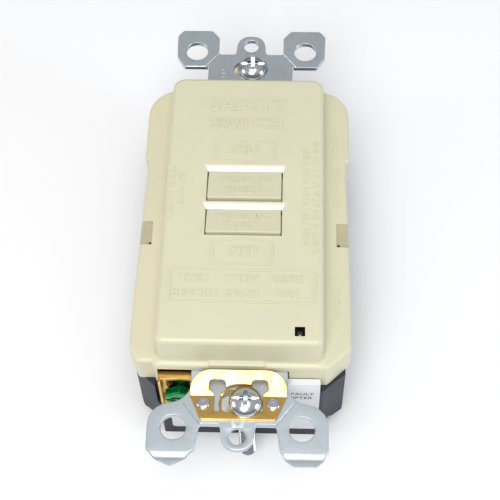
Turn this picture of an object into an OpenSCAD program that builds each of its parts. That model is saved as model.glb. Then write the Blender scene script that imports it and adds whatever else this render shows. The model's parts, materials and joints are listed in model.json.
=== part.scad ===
// Blank-face ground-fault interrupter with reset and test buttons.
// Origin: midway between the two box screws, on the back plane of the mounting strap.
// +Z leaves through the face, +Y is the top end, -Y the grounding end.

/* [Strap] */
// Length of the strap over its plaster ears
strap_len = 106; // [104:0.5:108]
// Thickness of the strap
strap_t = 1.2; // [1:0.05:1.3]
// Half width of the neck between body and ears
neck_half = 9.7; // [9.3:0.1:10]
// Height of an ear hole from the origin
ear_hole_y = 46.8; // [46.5:0.1:47.2]
// Distance of an ear hole from the middle line
ear_hole_x = 12.55; // [12.2:0.05:12.9]
// Radius of an ear hole
ear_hole_r = 2.5; // [2.2:0.1:2.8]
// Height of a wall-plate hole from the origin
plate_hole_y = 48.41; // [48:0.01:48.8]
// Radius of a wall-plate hole
plate_hole_r = 1.7; // [1.5:0.1:1.8]
// Height of a box screw from the origin
box_screw_y = 41.67; // [41.3:0.01:42]

/* [Cover] */
// Width of the raised face
face_w = 33.3; // [32.8:0.1:33.6]
// Length of the raised face at its foot
face_len = 66.8; // [66:0.1:67.2]
// Height of the face above the strap's back plane
face_top = 9.4; // [9.2:0.1:9.6]
// Height of the flange above the strap's back plane
flange_top = 2.8; // [2.6:0.1:3]
// Half width of the flange at its ends
flange_half = 22.3; // [22:0.1:22.6]
// Depth of the skirt below the strap's back plane
skirt_low = 5; // [4.6:0.1:5]
// Thickness of the face
face_t = 1.7; // [1.5:0.1:1.7]

/* [Buttons] */
// Width of both buttons
button_w = 15.4; // [15:0.1:15.5]
// Middle of the reset button along the face
reset_y = 4.05; // [4:0.05:4.1]
// Middle of the test button along the face
test_y = -4.8; // [-4.85:0.05:-4.75]
// Gap round a button in its well
button_gap = 0.25; // [0.2:0.05:0.3]
// Height of a button's near edge above the face
button_proud = 0.9; // [0.6:0.1:1]

/* [Housing] */
// Half width of the rear housing
housing_half = 21.4; // [21.3:0.1:21.5]
// Half length of the rear housing over its end walls
nose_half = 36; // [35.8:0.1:36.2]
// Depth of the rear housing below the strap's back plane
back_depth = 28; // [27.8:0.1:28.4]
// Thickness of the housing's end walls and floor
wall = 1.5; // [1.4:0.1:1.6]

/* [Screws and terminals] */
// Shank radius of the box screws
box_shank_r = 1.75; // [1.6:0.05:1.8]
// Length of the box screws under the head
box_screw_len = 25.4; // [20:0.1:30]
// Distance of a terminal screw from the middle, along the body
terminal_y = 18.5; // [18.4:0.1:18.6]
// Depth of the terminal screws
terminal_z = -13; // [-13.1:0.1:-12.9]
// Shank radius of the terminal screws
terminal_shank_r = 2; // [1.8:0.05:2.1]
// Radius of a wire hole in the back
wire_hole_r = 1.5; // [1.3:0.05:1.5]

/* [Mechanism] */
// Radius of the reset rod
rod_r = 1.2; // [1:0.05:1.25]
// Depth of the solenoid's axis
solenoid_z = -14.6; // [-14.7:0.1:-14.5]
// Depth of the moving arms' pivots
pivot_z = -14.15; // [-14.2:0.01:-14.1]
// Place of the moving arms' pivots along the body
pivot_y = -11.5; // [-11.6:0.1:-11.4]
// Middle of the toroid cup along the body
toroid_y = 19.5; // [19.4:0.1:19.6]

/* [Hidden] */
$fn = 48;

far = 60;                                   // longer than any part, for cutting tools
ear_end = strap_len / 2;
near_x = 1.4;                               // where the bottom screw sits in its slot
top_x = 0.5;                                // where the top screw sits in its slot
slot_reach = 3.75;                          // half length of a box-screw slot
slot_r = 2;
box_neck_r = 1.5;
thread_top = -1.4;                          // where the box screws' threads begin, under their retainers
clip_t = 0.5;
clip_fold_y = -40.3;
clip_tilt = 25;
head_r = 3.3;                               // box screw heads
rivet_x = 6.85;
rivet_y = -41.9;
flange_near = -34.6;
flange_far = 34.2;
ceiling = face_top - face_t;
flange_under = flange_top - 1.5;
button_tail = 6.3;                          // underside of both buttons' flanges
boss_low = 3;                               // underside of both buttons' bosses
boss_r = 2.6;
well_len = [7.45, 6.35];                    // reset and test wells
frame_top = -0.1;
frame_low = -1.8;
post_x = 17.2;
post_y = 27.6;
board_top = -23.2;
board_t = 1.6;
plate_in = 17.8;                            // inner face of the terminal plates
plate_out = 19;
clamp_in = 12.9;
clamp_t = 2;
wire_x = (clamp_in + clamp_t + plate_in) / 2;
wire_gap = 4.2;                             // from a terminal screw to the wire holes on each side
arm_x = 10.1;                               // middle of each moving arm
contact_y = 7;
contact_r = 1.3;
bus_low = -9.55;
led_x = 11.85;
led_y = -29.7;
ground_x = -13.1;
ground_z = -6.5;
rod_gap = 1.45;                             // middle of each conductor in the toroid cup
conductor_y = 19;
gold = [0.85, 0.66, 0.3];
steel = [0.74, 0.75, 0.77];
ivory = [0.88, 0.86, 0.77];
charcoal = [0.28, 0.29, 0.33];
copper = [0.72, 0.42, 0.24];

// ---- building blocks ----

module box(low, high) translate(low) cube(high - low);

module rod(r, low, high, x = 0, y = 0) translate([x, y, low]) cylinder(r = r, h = high - low);

module rod_x(r, low, high, y, z) translate([low, y, z]) rotate([0, 90, 0]) cylinder(r = r, h = high - low);

module rod_y(r, low, high, x, z) translate([x, high, z]) rotate([90, 0, 0]) cylinder(r = r, h = high - low);

// A profile drawn in (y, z), run along X from low to high
module run_x(low, high) translate([low, 0, 0]) rotate([90, 0, 90]) linear_extrude(high - low) children();

// A profile drawn in (x, z), run along Y from low to high
module run_y(low, high) translate([0, high, 0]) rotate([90, 0, 0]) linear_extrude(high - low) children();

module both_sides() {
    children();
    mirror([1, 0, 0]) children();
}

module both_ends() {
    children();
    mirror([0, 1, 0]) children();
}

module four_corners() both_sides() both_ends() children();

// A slot in the XY plane from x = left to x = right, with round ends
module slot_2d(left, right, y, r) {
    translate([left, y]) circle(r = r);
    translate([right, y]) circle(r = r);
    translate([left, y - r]) square([right - left, 2 * r]);
}

function arc(c, r, from, to, steps = 8) =
    [for (i = [0 : steps]) c + r * [cos(from + (to - from) * i / steps), sin(from + (to - from) * i / steps)]];

// One ring of a helical spring's wire, at turn t, on the spring's own +Z axis
function wire_ring(t, coil_r, wire_r, rise, sides) =
    let (a = 360 * t, c = coil_r * [cos(a), sin(a), 0] + [0, 0, rise * t])
    [for (k = [0 : sides - 1]) let (b = 360 * k / sides)
        c + wire_r * cos(b) * [cos(a), sin(a), 0] + [0, 0, wire_r * sin(b)]];

module spring(coil_r, wire_r, length, turns, sides = 6, steps = 10) {
    rings = turns * steps;
    rise = (length - 2 * wire_r) / turns;
    points = [for (i = [0 : rings]) each wire_ring(i / steps, coil_r, wire_r, rise, sides)];
    skin = [for (i = [0 : rings - 1], k = [0 : sides - 1])
        let (a = i * sides + k, b = i * sides + (k + 1) % sides)
        each [[a, b, a + sides], [b, b + sides, a + sides]]];
    first = [for (k = [0 : sides - 1]) sides - 1 - k];
    last = [for (k = [0 : sides - 1]) rings * sides + k];
    translate([0, 0, wire_r]) polyhedron(points, concat(skin, [first, last]));
}

// ---- strap, clip and the screws on them ----

// Outline of the +X half of the strap, from the bottom tab round the ears to the top tab
strap_half = concat(
    arc([0, -plate_hole_y], 3, 270, 355),
    [[3.5, -46], [7.5, -46], [8.4, -51.2], [9.5, -52.8], [16.9, -52.8], [17.9, -51.6]],
    arc([ear_hole_x, -ear_hole_y], 5.1, 10, 124),
    [[neck_half, -27], [12, -27], [12, 27], [neck_half, 27], [neck_half, 42.2], [15.3, 42.2], [17.1, 45.2],
     [17.3, 51.3], [16, ear_end], [9.2, ear_end], [7.45, 50.9], [7.45, 46], [3.5, 46]],
    arc([0, plate_hole_y], 3, 5, 90)
);

// Break-off groove between an ear and the neck
module ear_groove(z) translate([8.95, 44.1, z]) rotate([0, 0, -52.6]) cube([far / 6, 0.35, 0.4], center = true);

module mounting_strap() color(steel) difference() {
    linear_extrude(strap_t) difference() {
        polygon(concat(strap_half, [for (i = [len(strap_half) - 2 : -1 : 1]) [-strap_half[i][0], strap_half[i][1]]]));
        four_corners() translate([ear_hole_x, ear_hole_y]) circle(r = ear_hole_r);
        both_ends() translate([0, plate_hole_y]) circle(r = plate_hole_r);
        both_ends() slot_2d(-slot_reach + slot_r, slot_reach - slot_r, box_screw_y, slot_r);
        both_sides() translate([rivet_x, rivet_y]) circle(r = 0.9);
        translate([0, reset_y]) circle(r = boss_r + 0.7);
        translate([0, test_y]) circle(r = boss_r + 0.7);
    }
    four_corners() ear_groove(0);
    four_corners() ear_groove(strap_t);
}

module clip_openings_2d() both_sides() {
    translate([4.1, 1.9]) circle(r = 1.7);
    translate([3.55, -3.2]) square([1.1, 4.2]);
}

module grounding_clip() color(gold) {
    fold = strap_t + clip_t;
    translate([0, clip_fold_y, strap_t]) linear_extrude(clip_t) difference() {
        polygon([[-9.6, 0.1], [-7.4, -4.9], [7.4, -4.9], [9.6, 0.1]]);
        clip_openings_2d();
        both_sides() translate([rivet_x, rivet_y - clip_fold_y]) circle(r = 0.9);
        slot_2d(-0.4, near_x, -box_screw_y - clip_fold_y, box_shank_r + 0.1);
    }
    difference() {
        translate([0, clip_fold_y, strap_t]) rotate([clip_tilt, 0, 0]) linear_extrude(clip_t) difference() {
            polygon(concat(
                [[9.6, 0]], arc([5.4, 1.3], 4.1, 0, 90), arc([-5.4, 1.3], 4.1, 90, 180), [[-9.6, 0]]
            ));
            clip_openings_2d();
        }
        translate([0, 0, fold]) linear_extrude(far) slot_2d(-0.4, near_x, -box_screw_y, head_r + 0.3);
        linear_extrude(far) slot_2d(-0.4, near_x, -box_screw_y, box_shank_r + 0.1);
    }
}

module clip_rivets() color(steel) for (side = [-1, 1]) {
    tail = side < 0 ? -0.9 : 0;
    rod(0.9, tail, strap_t + clip_t, side * rivet_x, rivet_y);
    rod(1.3, strap_t + clip_t, strap_t + clip_t + 0.4, side * rivet_x, rivet_y);
    rod(1.4, tail - 0.5, tail, side * rivet_x, rivet_y);
}

module ground_terminal() color(gold) difference() {
    union() {
        box([-16.3, -35.2, -12.2], [-9.9, -34.4, 0]);
        box([-16.3, -37, -12.2], [-15.8, -34.4, 0]);
        box([-16.3, -36.6, -12.2], [-12, -34.4, -11.4]);
        box([-16.3, -36, -0.9], [-4.8, -34.4, 0]);
        box([-9.2, -44.2, -0.9], [-4.8, -34.4, 0]);
    }
    rod(0.9, -2, 1, -rivet_x, rivet_y);
    rod_y(2.5, -36, -34, ground_x + 0.9, ground_z);
}

module ground_screw() color([0.1, 0.55, 0.3]) difference() {
    x = ground_x + 0.9;
    union() {
        translate([x, -36, ground_z]) rotate([90, 30, 0]) cylinder(d = 6.8, h = 1.8, $fn = 6);
        rod_y(3.2, -36, -35.3, x, ground_z);
        rod_y(2.4, -35.3, -33, x, ground_z);
    }
    box([x - 2.6, -38, ground_z - 0.4], [x + 2.6, -37, ground_z + 0.4]);
}

// Round head with a driver slot and cross, turned to its mouth at z = seat
module combination_head(seat, r, height) difference() {
    ball = (r * r + height * height) / (2 * height);
    intersection() {
        translate([0, 0, seat + height - ball]) sphere(r = ball);
        rod(r, seat, seat + height);
    }
    box([-r, -0.4, seat + height - 0.9], [r, 0.4, seat + height + 1]);
    box([-0.4, -1.7, seat + height - 1.1], [0.4, 1.7, seat + height + 1]);
}

// The plain neck under the head is thinner than the thread, so the retainer keeps the screw from falling out
module box_screw(x, y, seat) color(steel) translate([x, y, 0]) {
    combination_head(seat, head_r, 2.4);
    rod(box_neck_r, thread_top, seat);
    rod(box_shank_r, seat - box_screw_len, thread_top);
}

module top_mounting_screw() box_screw(top_x, box_screw_y, strap_t + 0.1);

module bottom_mounting_screw() box_screw(near_x, -box_screw_y, strap_t + clip_t + 0.1);

module screw_retainer(x, y) color([0.9, 0.87, 0.8]) difference() {
    box([x - 3.9, y - 3.6, -0.9], [x + 3.9, y + 3.6, -0.1]);
    rod(box_neck_r + 0.05, -2, 1, x, y);
}

module top_screw_retainer() screw_retainer(top_x, box_screw_y);

module bottom_screw_retainer() screw_retainer(near_x, -box_screw_y);

// ---- cover ----

module flange_half_2d() polygon(concat(
    [[0, flange_near], [17.6, flange_near], [flange_half, -30], [flange_half, -20],
     [flange_half - 0.7, 10], [flange_half - 0.7, 14.9], [flange_half, 15.6]],
    arc([flange_half - 6.8, flange_far - 6.8], 6.8, 0, 90),
    [[0, flange_far]]
));

module cover_hollow_2d() both_sides() polygon([[0, -33.1], [17, -33.1], [20.2, -29.9], [20.2, 28.6], [16.2, 32.6], [0, 32.6]]);

module face_block() intersection() {
    run_x(-far, far) polygon([
        [-face_len / 2, flange_under], [-32.4, face_top - 0.7], [-31.7, face_top],
        [31.7, face_top], [32.4, face_top - 0.7], [face_len / 2, flange_under]
    ]);
    run_y(-far, far) polygon([
        [-face_w / 2, flange_under], [-face_w / 2 + 0.1, face_top - 0.7], [-face_w / 2 + 0.8, face_top],
        [face_w / 2 - 0.8, face_top], [face_w / 2 - 0.1, face_top - 0.7], [face_w / 2, flange_under]
    ]);
}

// Button well with a bevel rising from its far edge to the face
module well(y, length) {
    half = button_w / 2 + button_gap;
    edge = y + length / 2;
    box([-half, y - length / 2, flange_under], [half, edge, far]);
    run_x(-half, half) polygon([[edge - 0.1, face_top - 0.9], [edge, face_top - 0.9], [edge + 1.5, face_top + 0.01], [edge - 0.1, far]]);
}

// Raised frame, 0.35 wide, round a five-sided arrow box that points at y = tip
module arrow_frame(half, base, shoulder, tip) {
    inset = 0.35 * sign(base - tip);
    linear_extrude(0.2) difference() {
        polygon([[-half, base], [-half, shoulder], [0, tip], [half, shoulder], [half, base]]);
        polygon([
            [-half + 0.35, base - inset], [-half + 0.35, shoulder + inset], [0, tip + inset],
            [half - 0.35, shoulder + inset], [half - 0.35, base - inset]
        ]);
    }
}

module front_cover() color(ivory) difference() {
    union() {
        difference() {
            translate([0, 0, -skirt_low]) linear_extrude(skirt_low + flange_top) both_sides() flange_half_2d();
            translate([0, 0, -far]) linear_extrude(far + flange_under) cover_hollow_2d();
        }
        face_block();
        four_corners() rod(2.6, -1.7, flange_top, post_x, post_y);
        box([-6.3, -34.1, flange_top], [4.5, -33.2, flange_top + 0.35]);
        translate([0, 0, face_top]) {
            arrow_frame(6.4, 15.4, 10.5, 9.7);
            arrow_frame(6.3, -15.3, -9.4, -8.7);
            linear_extrude(0.2) difference() {
                translate([-15.3, -24]) square([30.6, 7.6]);
                translate([-14.95, -23.65]) square([29.9, 6.9]);
            }
        }
    }
    box([-14.9, -31.6, -far], [14.9, 31.6, ceiling]);
    well(reset_y - 0.02, well_len[0]);
    well(test_y - 0.02, well_len[1]);
    box([led_x - 1.05, led_y - 1.05, 0], [led_x + 1.05, led_y + 1.05, far]);
    both_sides() box([19.4, -7.1, flange_top - 0.9], [far, -1.4, far]);
    four_corners() rod(1.3, -far, 1.9, post_x, post_y);
    both_ends() box([-9.9, 30, -far], [9.9, far, strap_t + 0.15]);
    both_ends() box([-15.5, 30, -far], [15.5, far, -2]);
    box([-16.5, -far, -far], [-9.8, -31, strap_t + 0.15]);
}

// ---- buttons ----

// Solid button: tilted top, long flange under the face, and a boss on its underside
module button(y, length) {
    half = length / 2;
    run_x(-button_w / 2, button_w / 2) polygon([
        [y - half, button_tail], [y + half, button_tail], [y + half, face_top - 0.3],
        [y - half + 0.3, face_top + button_proud], [y - half, face_top + button_proud - 0.3]
    ]);
    box([-9, y - half, button_tail], [9, y + half, ceiling - 0.2]);
    rod(boss_r, boss_low, button_tail, 0, y);
}

module reset_button() color(ivory) difference() {
    button(reset_y, well_len[0] - 2 * button_gap);
    rod(rod_r, 0, 6, 0, reset_y);
}

module test_button() color(ivory) {
    button(test_y, well_len[1] - 2 * button_gap);
    rod(1, -4, boss_low, 0, test_y);
}

module reset_plunger() color(steel) difference() {
    rod(rod_r, -16, 6, 0, reset_y);
    difference() {
        rod(far / 20, -12, -11, 0, reset_y);
        rod(0.8, -13, -10, 0, reset_y);
    }
}

module reset_spring() color(steel) translate([0, reset_y, -5.2]) spring(2.2, 0.25, boss_low + 5.2, 6);

module test_spring() color(steel) translate([0, test_y, frame_top]) spring(1.9, 0.2, boss_low - frame_top, 4);

module test_blade() color(copper) {
    box([-2, -6, -4.5], [12.3, -3.6, -4.2]);
    box([12, -6, -4.5], [12.3, -3.6, frame_low]);
    box([10, -6, frame_low - 0.3], [12.3, -3.6, frame_low]);
}

module test_contact() color(steel) rod(0.5, board_top, -6.2, 5.6, test_y);

// ---- housing, separator and what closes them ----

module housing_half_2d() polygon([
    [0, -nose_half], [16.8, -nose_half], [19, -34], [housing_half, -32],
    [housing_half, 32], [19, 34], [16.8, nose_half], [0, nose_half]
]);

module lip_half_2d() polygon([[0, -32.4], [16.8, -32.4], [19.9, -29.3], [19.9, 28], [15.7, 32.2], [0, 32.2]]);

// Section of the housing across its width, with its chamfered back edges
module housing_section() run_y(-far, far) polygon([
    [-19.4, -back_depth], [19.4, -back_depth], [housing_half, -24], [housing_half, 0], [-housing_half, 0], [-housing_half, -24]
]);

// What the far end of the cover leaves for a corner post
module lip_corner_2d() polygon([[0, 0], [0, 32.2], [15.7, 32.2], [19.9, 28], [19.9, 0]]);

module housing_shell() difference() {
    union() {
        intersection() {
            translate([0, 0, -back_depth]) linear_extrude(back_depth - skirt_low - 0.1) both_sides() housing_half_2d();
            housing_section();
        }
        translate([0, 0, -skirt_low - 1]) linear_extrude(skirt_low + 1 + frame_low) both_sides() lip_half_2d();
        box([-15.3, -nose_half, -back_depth], [15.3, nose_half, -2.1]);
    }
    floor_top = -back_depth + wall + 0.1;
    box([-19, -29.8, floor_top], [19, 29.8, far]);
    box([-13.8, -nose_half + wall, floor_top], [13.8, nose_half - wall, far]);
    four_corners() box([17, 31.5, -far], [far, far, -21.5]);
}

module rear_housing() color(charcoal) difference() {
    union() {
        housing_shell();
        four_corners() intersection() {
            rod(3, -back_depth, frame_low, post_x, post_y);
            translate([0, 0, -far]) linear_extrude(far) lip_corner_2d();
            housing_section();
        }
        four_corners() rod(1.5, -back_depth, board_top - board_t, 11.5, 24.5);
        box([-15.3, -34.6, -14.4], [-6.6, -31.9, -2.1]);
    }
    four_corners() {
        rod(1.5, -far, far, post_x, post_y);
        rod(2.4, -far, -19, post_x, post_y);
        box([plate_out - 0.01, terminal_y - 5, terminal_z - 5], [far, terminal_y + 5, terminal_z + 5]);
        for (side = [-1, 1]) rod(wire_hole_r, -far, -back_depth + 4, wire_x, terminal_y + side * wire_gap);
    }
    box([-17.4, -far, -13], [-8, -34.1, far]);
    rod_y(2.8, -35, -32.7, ground_x + 0.9, ground_z);
}

module middle_frame() color([0.2, 0.2, 0.22]) difference() {
    union() {
        difference() {
            translate([0, 0, frame_low]) linear_extrude(frame_top - frame_low) both_sides() lip_half_2d();
            four_corners() rod(2.9, -far, far, post_x, post_y);
        }
        rod(3.6, -6, frame_low, 0, reset_y);
    }
    rod(2.8, -5.2, far, 0, reset_y);
    rod(rod_r + 0.15, -far, far, 0, reset_y);
    rod(1.3, -far, far, 0, test_y);
    box([led_x - 1.3, led_y - 1.3, -far], [led_x + 1.3, led_y + 1.3, far]);
}

module assembly_screws() color(steel) four_corners() {
    rod(2.1, -20.4, -19, post_x, post_y);
    rod(1.3, -19, 1.5, post_x, post_y);
}

module light_pipe() color([0.75, 0.85, 0.8]) box([led_x - 1, led_y - 1, -18.5], [led_x + 1, led_y + 1, ceiling + 0.6]);

module rating_label() color("white") run_y(-nose_half - 0.12, -nose_half) polygon([
    [-15, -25], [16.2, -25], [16.2, -5.3], [15.2, -5.3], [15.2, -2.8], [-7.8, -2.8], [-7.8, -13.3], [-15, -13.3]
]);

// ---- switching mechanism ----

module contact_carrier() color([0.85, 0.85, 0.8]) difference() {
    union() {
        box([-3.5, 0.6, -16], [3.5, 7.5, -12]);
        box([-11.2, 3.2, -16], [11.2, 4.9, -14.45]);
    }
    rod(rod_r + 0.3, -far, far, 0, reset_y);
}

module latch_plate() color(steel) difference() {
    union() {
        box([-4.5, -8.6, -9.6], [4.5, 8, -8.8]);
        box([-2.2, -8.6, -16.8], [2.2, -7.8, -8.8]);
    }
    box([-1.4, reset_y - 1.45, -10], [1.4, reset_y + 3.05, -8]);
    rod_y(1.05, -9, -7, 0, solenoid_z);
}

// Moving arm on the +X side: an eye on the pivot pin, and the leaf that carries the contact
module contact_arm() color(copper) difference() {
    union() {
        rod_x(0.95, 8.8, 11.4, pivot_y, pivot_z);
        box([8.8, pivot_y, pivot_z - 0.25], [11.4, 8.5, pivot_z + 0.25]);
    }
    rod_x(0.55, 8, 12, pivot_y, pivot_z);
}

module hot_contact_arm() contact_arm();

module neutral_contact_arm() mirror([1, 0, 0]) contact_arm();

module moving_contact() color([0.9, 0.9, 0.92]) rod(contact_r, pivot_z + 0.25, pivot_z + 1.05, arm_x, contact_y);

module hot_moving_contact() moving_contact();

module neutral_moving_contact() mirror([1, 0, 0]) moving_contact();

module fixed_contacts() color([0.9, 0.9, 0.92]) both_sides() rod(contact_r, bus_low - 0.8, bus_low, arm_x, contact_y);

module solenoid_frame() color(steel) difference() {
    union() {
        box([-7, -24.5, -22.6], [7, -10.5, -21.4]);
        for (y = [-24.5, -11.7]) box([-7, y, -21.4], [7, y + 1.2, -8]);
    }
    rod_y(2.3, -12, -10, 0, solenoid_z);
}

module solenoid_bobbin() color([0.9, 0.88, 0.8]) difference() {
    union() {
        rod_y(3, -23.2, -11.8, 0, solenoid_z);
        for (y = [-23.2, -12.8]) rod_y(6, y, y + 1, 0, solenoid_z);
    }
    rod_y(2.25, -24, -11, 0, solenoid_z);
}

module solenoid_coil() color(copper) difference() {
    rod_y(5.6, -22.1, -12.9, 0, solenoid_z);
    rod_y(3.05, -23, -12, 0, solenoid_z);
}

module armature() color(steel) {
    rod_y(2, -19.5, -9.2, 0, solenoid_z);
    rod_y(0.9, -9.2, -7.4, 0, solenoid_z);
    rod_y(1.7, -7.4, -6.6, 0, solenoid_z);
}

module armature_spring() color(steel)
    translate([0, -23.2, solenoid_z]) rotate([-90, 0, 0]) spring(1.6, 0.2, 3.7, 4);

// ---- circuit board and what stands on it ----

module circuit_board() color([0.15, 0.4, 0.25]) difference() {
    box([-13.8, -31.5, board_top - board_t], [13.8, 31.5, board_top]);
    four_corners() box([12.6, terminal_y - 1.6, -far], [13.6, terminal_y + 1.6, 0]);
}

module ring_core(low, high, inner, outer) difference() {
    rod(outer, low, high, 0, toroid_y);
    rod(inner, low - 1, high + 1, 0, toroid_y);
}

module toroid_cores() color([0.35, 0.35, 0.37]) for (low = [-20.1, -14.7]) ring_core(low, low + 3.4, 4.2, 8);

module toroid_windings() color(copper) for (low = [-20.7, -15.3]) difference() {
    ring_core(low, low + 4.6, 3.5, 8.8);
    ring_core(low + 0.55, low + 4.05, 4.15, 8.05);
}

module toroid_housing() color([0.12, 0.12, 0.13]) difference() {
    box([-10, toroid_y - 10, -21.4], [10, toroid_y + 10, -8.4]);
    ring_core(-20.8, 0, 3.3, 9.2);
    rod(2.7, -far, far, 0, toroid_y);
}

// Bar from the +X line terminal, down through the cores, along the board and up to the arm's pivot pin
module conductor() color(copper) {
    box([rod_gap - 0.8, conductor_y - 0.8, -6.8], [plate_in, conductor_y + 0.8, -6]);
    rod(0.9, -22.6, -6.4, rod_gap, conductor_y);
    box([rod_gap - 0.8, conductor_y - 0.8, -22.6], [8.4, conductor_y + 0.8, -21.8]);
    box([7.6, pivot_y - 0.8, -22.6], [8.4, conductor_y + 0.8, -21.8]);
    box([7.6, pivot_y - 0.8, -22.6], [8.4, pivot_y + 0.8, pivot_z + 0.9]);
    rod_x(0.5, 8.4, 11.8, pivot_y, pivot_z);
}

module hot_conductor() conductor();

module neutral_conductor() mirror([1, 0, 0]) conductor();

module varistor() color([0.2, 0.35, 0.65]) {
    rod_y(4.5, -29.6, -26, -5.5, -17.6);
    for (x = [-8, -3]) rod(0.4, board_top, -20, x, -27.8);
}

module capacitors() color([0.75, 0.35, 0.15]) {
    box([1.5, -29.6, board_top], [8.5, -26, -15]);
    rod(2.2, board_top, -16.2, 12, -7.5 + 1.2);
}

// Molded package with a row of legs along each long side
module control_chip() color([0.12, 0.12, 0.13]) {
    box([-2.6, -4.5, -22.9], [2.6, 4.5, -20.4]);
    both_sides() for (i = [0 : 3]) box([2.4, -3.9 + i * 2.3, board_top], [3.3, -3 + i * 2.3, -21.6]);
}

module thyristor() color([0.12, 0.12, 0.13]) {
    box([-13.6, 2, -21.4], [-9.4, 5.4, -17.2]);
    for (i = [0 : 2]) rod(0.3, board_top, -21.3, -12.7 + i * 1.2, 3.7);
}

// Axial part along Y, lying on the board with its two bent leads
module axial_y(r, length, x, y) {
    z = board_top + r + 0.2;
    rod_y(r, y - length / 2, y + length / 2, x, z);
    for (side = [-1, 1]) {
        rod_y(0.3, y + side * (length / 2 + 0.5) - 0.6, y + side * (length / 2 + 0.5) + 0.6, x, z);
        rod(0.3, board_top, z, x, y + side * (length / 2 + 0.9));
    }
}

module resistors() color([0.8, 0.7, 0.5]) for (place = [[11.7, 25.6], [-11.7, 25.6], [-11.7, -6.5]])
    axial_y(1, 4.6, place[0], place[1]);

module diodes() color([0.15, 0.15, 0.16]) for (place = [[11.7, 12.6], [-11.7, 12.6], [11.7, 2.5]])
    axial_y(0.9, 3.2, place[0], place[1]);

module indicator_led() color([0.5, 0.8, 0.5]) {
    rod(1.5, board_top, -20.5, led_x, led_y);
    translate([led_x, led_y, -20.5]) sphere(r = 1.45);
}

// ---- wire terminals, drawn for +X and +Y, then mirrored to their corners ----

module corner(side, end) mirror([side < 0 ? 1 : 0, 0, 0]) mirror([0, end < 0 ? 1 : 0, 0]) children();

module terminal_plate() {
    difference() {
        box([plate_in, terminal_y - 5.7, -19], [plate_out, terminal_y + 5.7, -5.5]);
        rod_x(terminal_shank_r + 0.1, plate_in - 1, plate_out + 1, terminal_y, terminal_z);
    }
    box([12.7, terminal_y - 1.5, -20.2], [plate_out, terminal_y + 1.5, -19]);
    box([12.7, terminal_y - 1.5, -25.4], [13.5, terminal_y + 1.5, -19]);
}

// Bus from a load terminal to the fixed contact above the moving arm, drawn for +X and the -Y end
module load_bus() {
    box([8.9, -terminal_y - 0.8, -6.8], [plate_in, -terminal_y + 0.8, -6]);
    box([8.9, -terminal_y - 0.8, bus_low], [11.3, -terminal_y - 0.2, -6]);
    box([8.9, -terminal_y - 0.8, bus_low], [11.3, 8.4, bus_low + 0.6]);
}

module line_hot_terminal() color(gold) corner(1, 1) terminal_plate();

module line_neutral_terminal() color(steel) corner(-1, 1) terminal_plate();

module load_hot_terminal() color(gold) {
    corner(1, -1) terminal_plate();
    load_bus();
}

module load_neutral_terminal() color(steel) {
    corner(-1, -1) terminal_plate();
    mirror([1, 0, 0]) load_bus();
}

module terminal_screw() difference() {
    union() {
        rod_x(3.9, plate_out + 0.1, plate_out + 2.1, terminal_y, terminal_z);
        rod_x(terminal_shank_r, 12.2, plate_out + 0.1, terminal_y, terminal_z);
    }
    box([plate_out + 1.1, terminal_y - 5, terminal_z - 0.45], [plate_out + 3, terminal_y + 5, terminal_z + 0.45]);
}

module line_hot_screw() color(gold) corner(1, 1) terminal_screw();

module line_neutral_screw() color(steel) corner(-1, 1) terminal_screw();

module load_hot_screw() color(gold) corner(1, -1) terminal_screw();

module load_neutral_screw() color(steel) corner(-1, -1) terminal_screw();

module wire_clamp() color(steel) difference() {
    box([clamp_in, terminal_y - 5.2, terminal_z - 5], [clamp_in + clamp_t, terminal_y + 5.2, terminal_z + 5]);
    rod_x(terminal_shank_r + 0.05, clamp_in - 1, clamp_in + 3, terminal_y, terminal_z);
}

module line_hot_clamp() corner(1, 1) wire_clamp();

module line_neutral_clamp() corner(-1, 1) wire_clamp();

module load_hot_clamp() corner(1, -1) wire_clamp();

module load_neutral_clamp() corner(-1, -1) wire_clamp();

front_cover();
rear_housing();
middle_frame();
mounting_strap();
grounding_clip();
clip_rivets();
ground_terminal();
ground_screw();
rating_label();
assembly_screws();
light_pipe();
top_mounting_screw();
bottom_mounting_screw();
top_screw_retainer();
bottom_screw_retainer();
reset_button();
reset_plunger();
reset_spring();
test_button();
test_spring();
test_blade();
test_contact();
contact_carrier();
latch_plate();
hot_contact_arm();
neutral_contact_arm();
hot_moving_contact();
neutral_moving_contact();
fixed_contacts();
solenoid_bobbin();
solenoid_coil();
solenoid_frame();
armature();
armature_spring();
circuit_board();
toroid_cores();
toroid_windings();
toroid_housing();
hot_conductor();
neutral_conductor();
varistor();
capacitors();
control_chip();
thyristor();
resistors();
diodes();
indicator_led();
line_hot_terminal();
line_neutral_terminal();
load_hot_terminal();
load_neutral_terminal();
line_hot_screw();
line_neutral_screw();
load_hot_screw();
load_neutral_screw();
line_hot_clamp();
line_neutral_clamp();
load_hot_clamp();
load_neutral_clamp();
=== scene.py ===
import json
import math
from itertools import cycle, product

import bmesh
import bpy
from mathutils import Matrix, Vector


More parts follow.
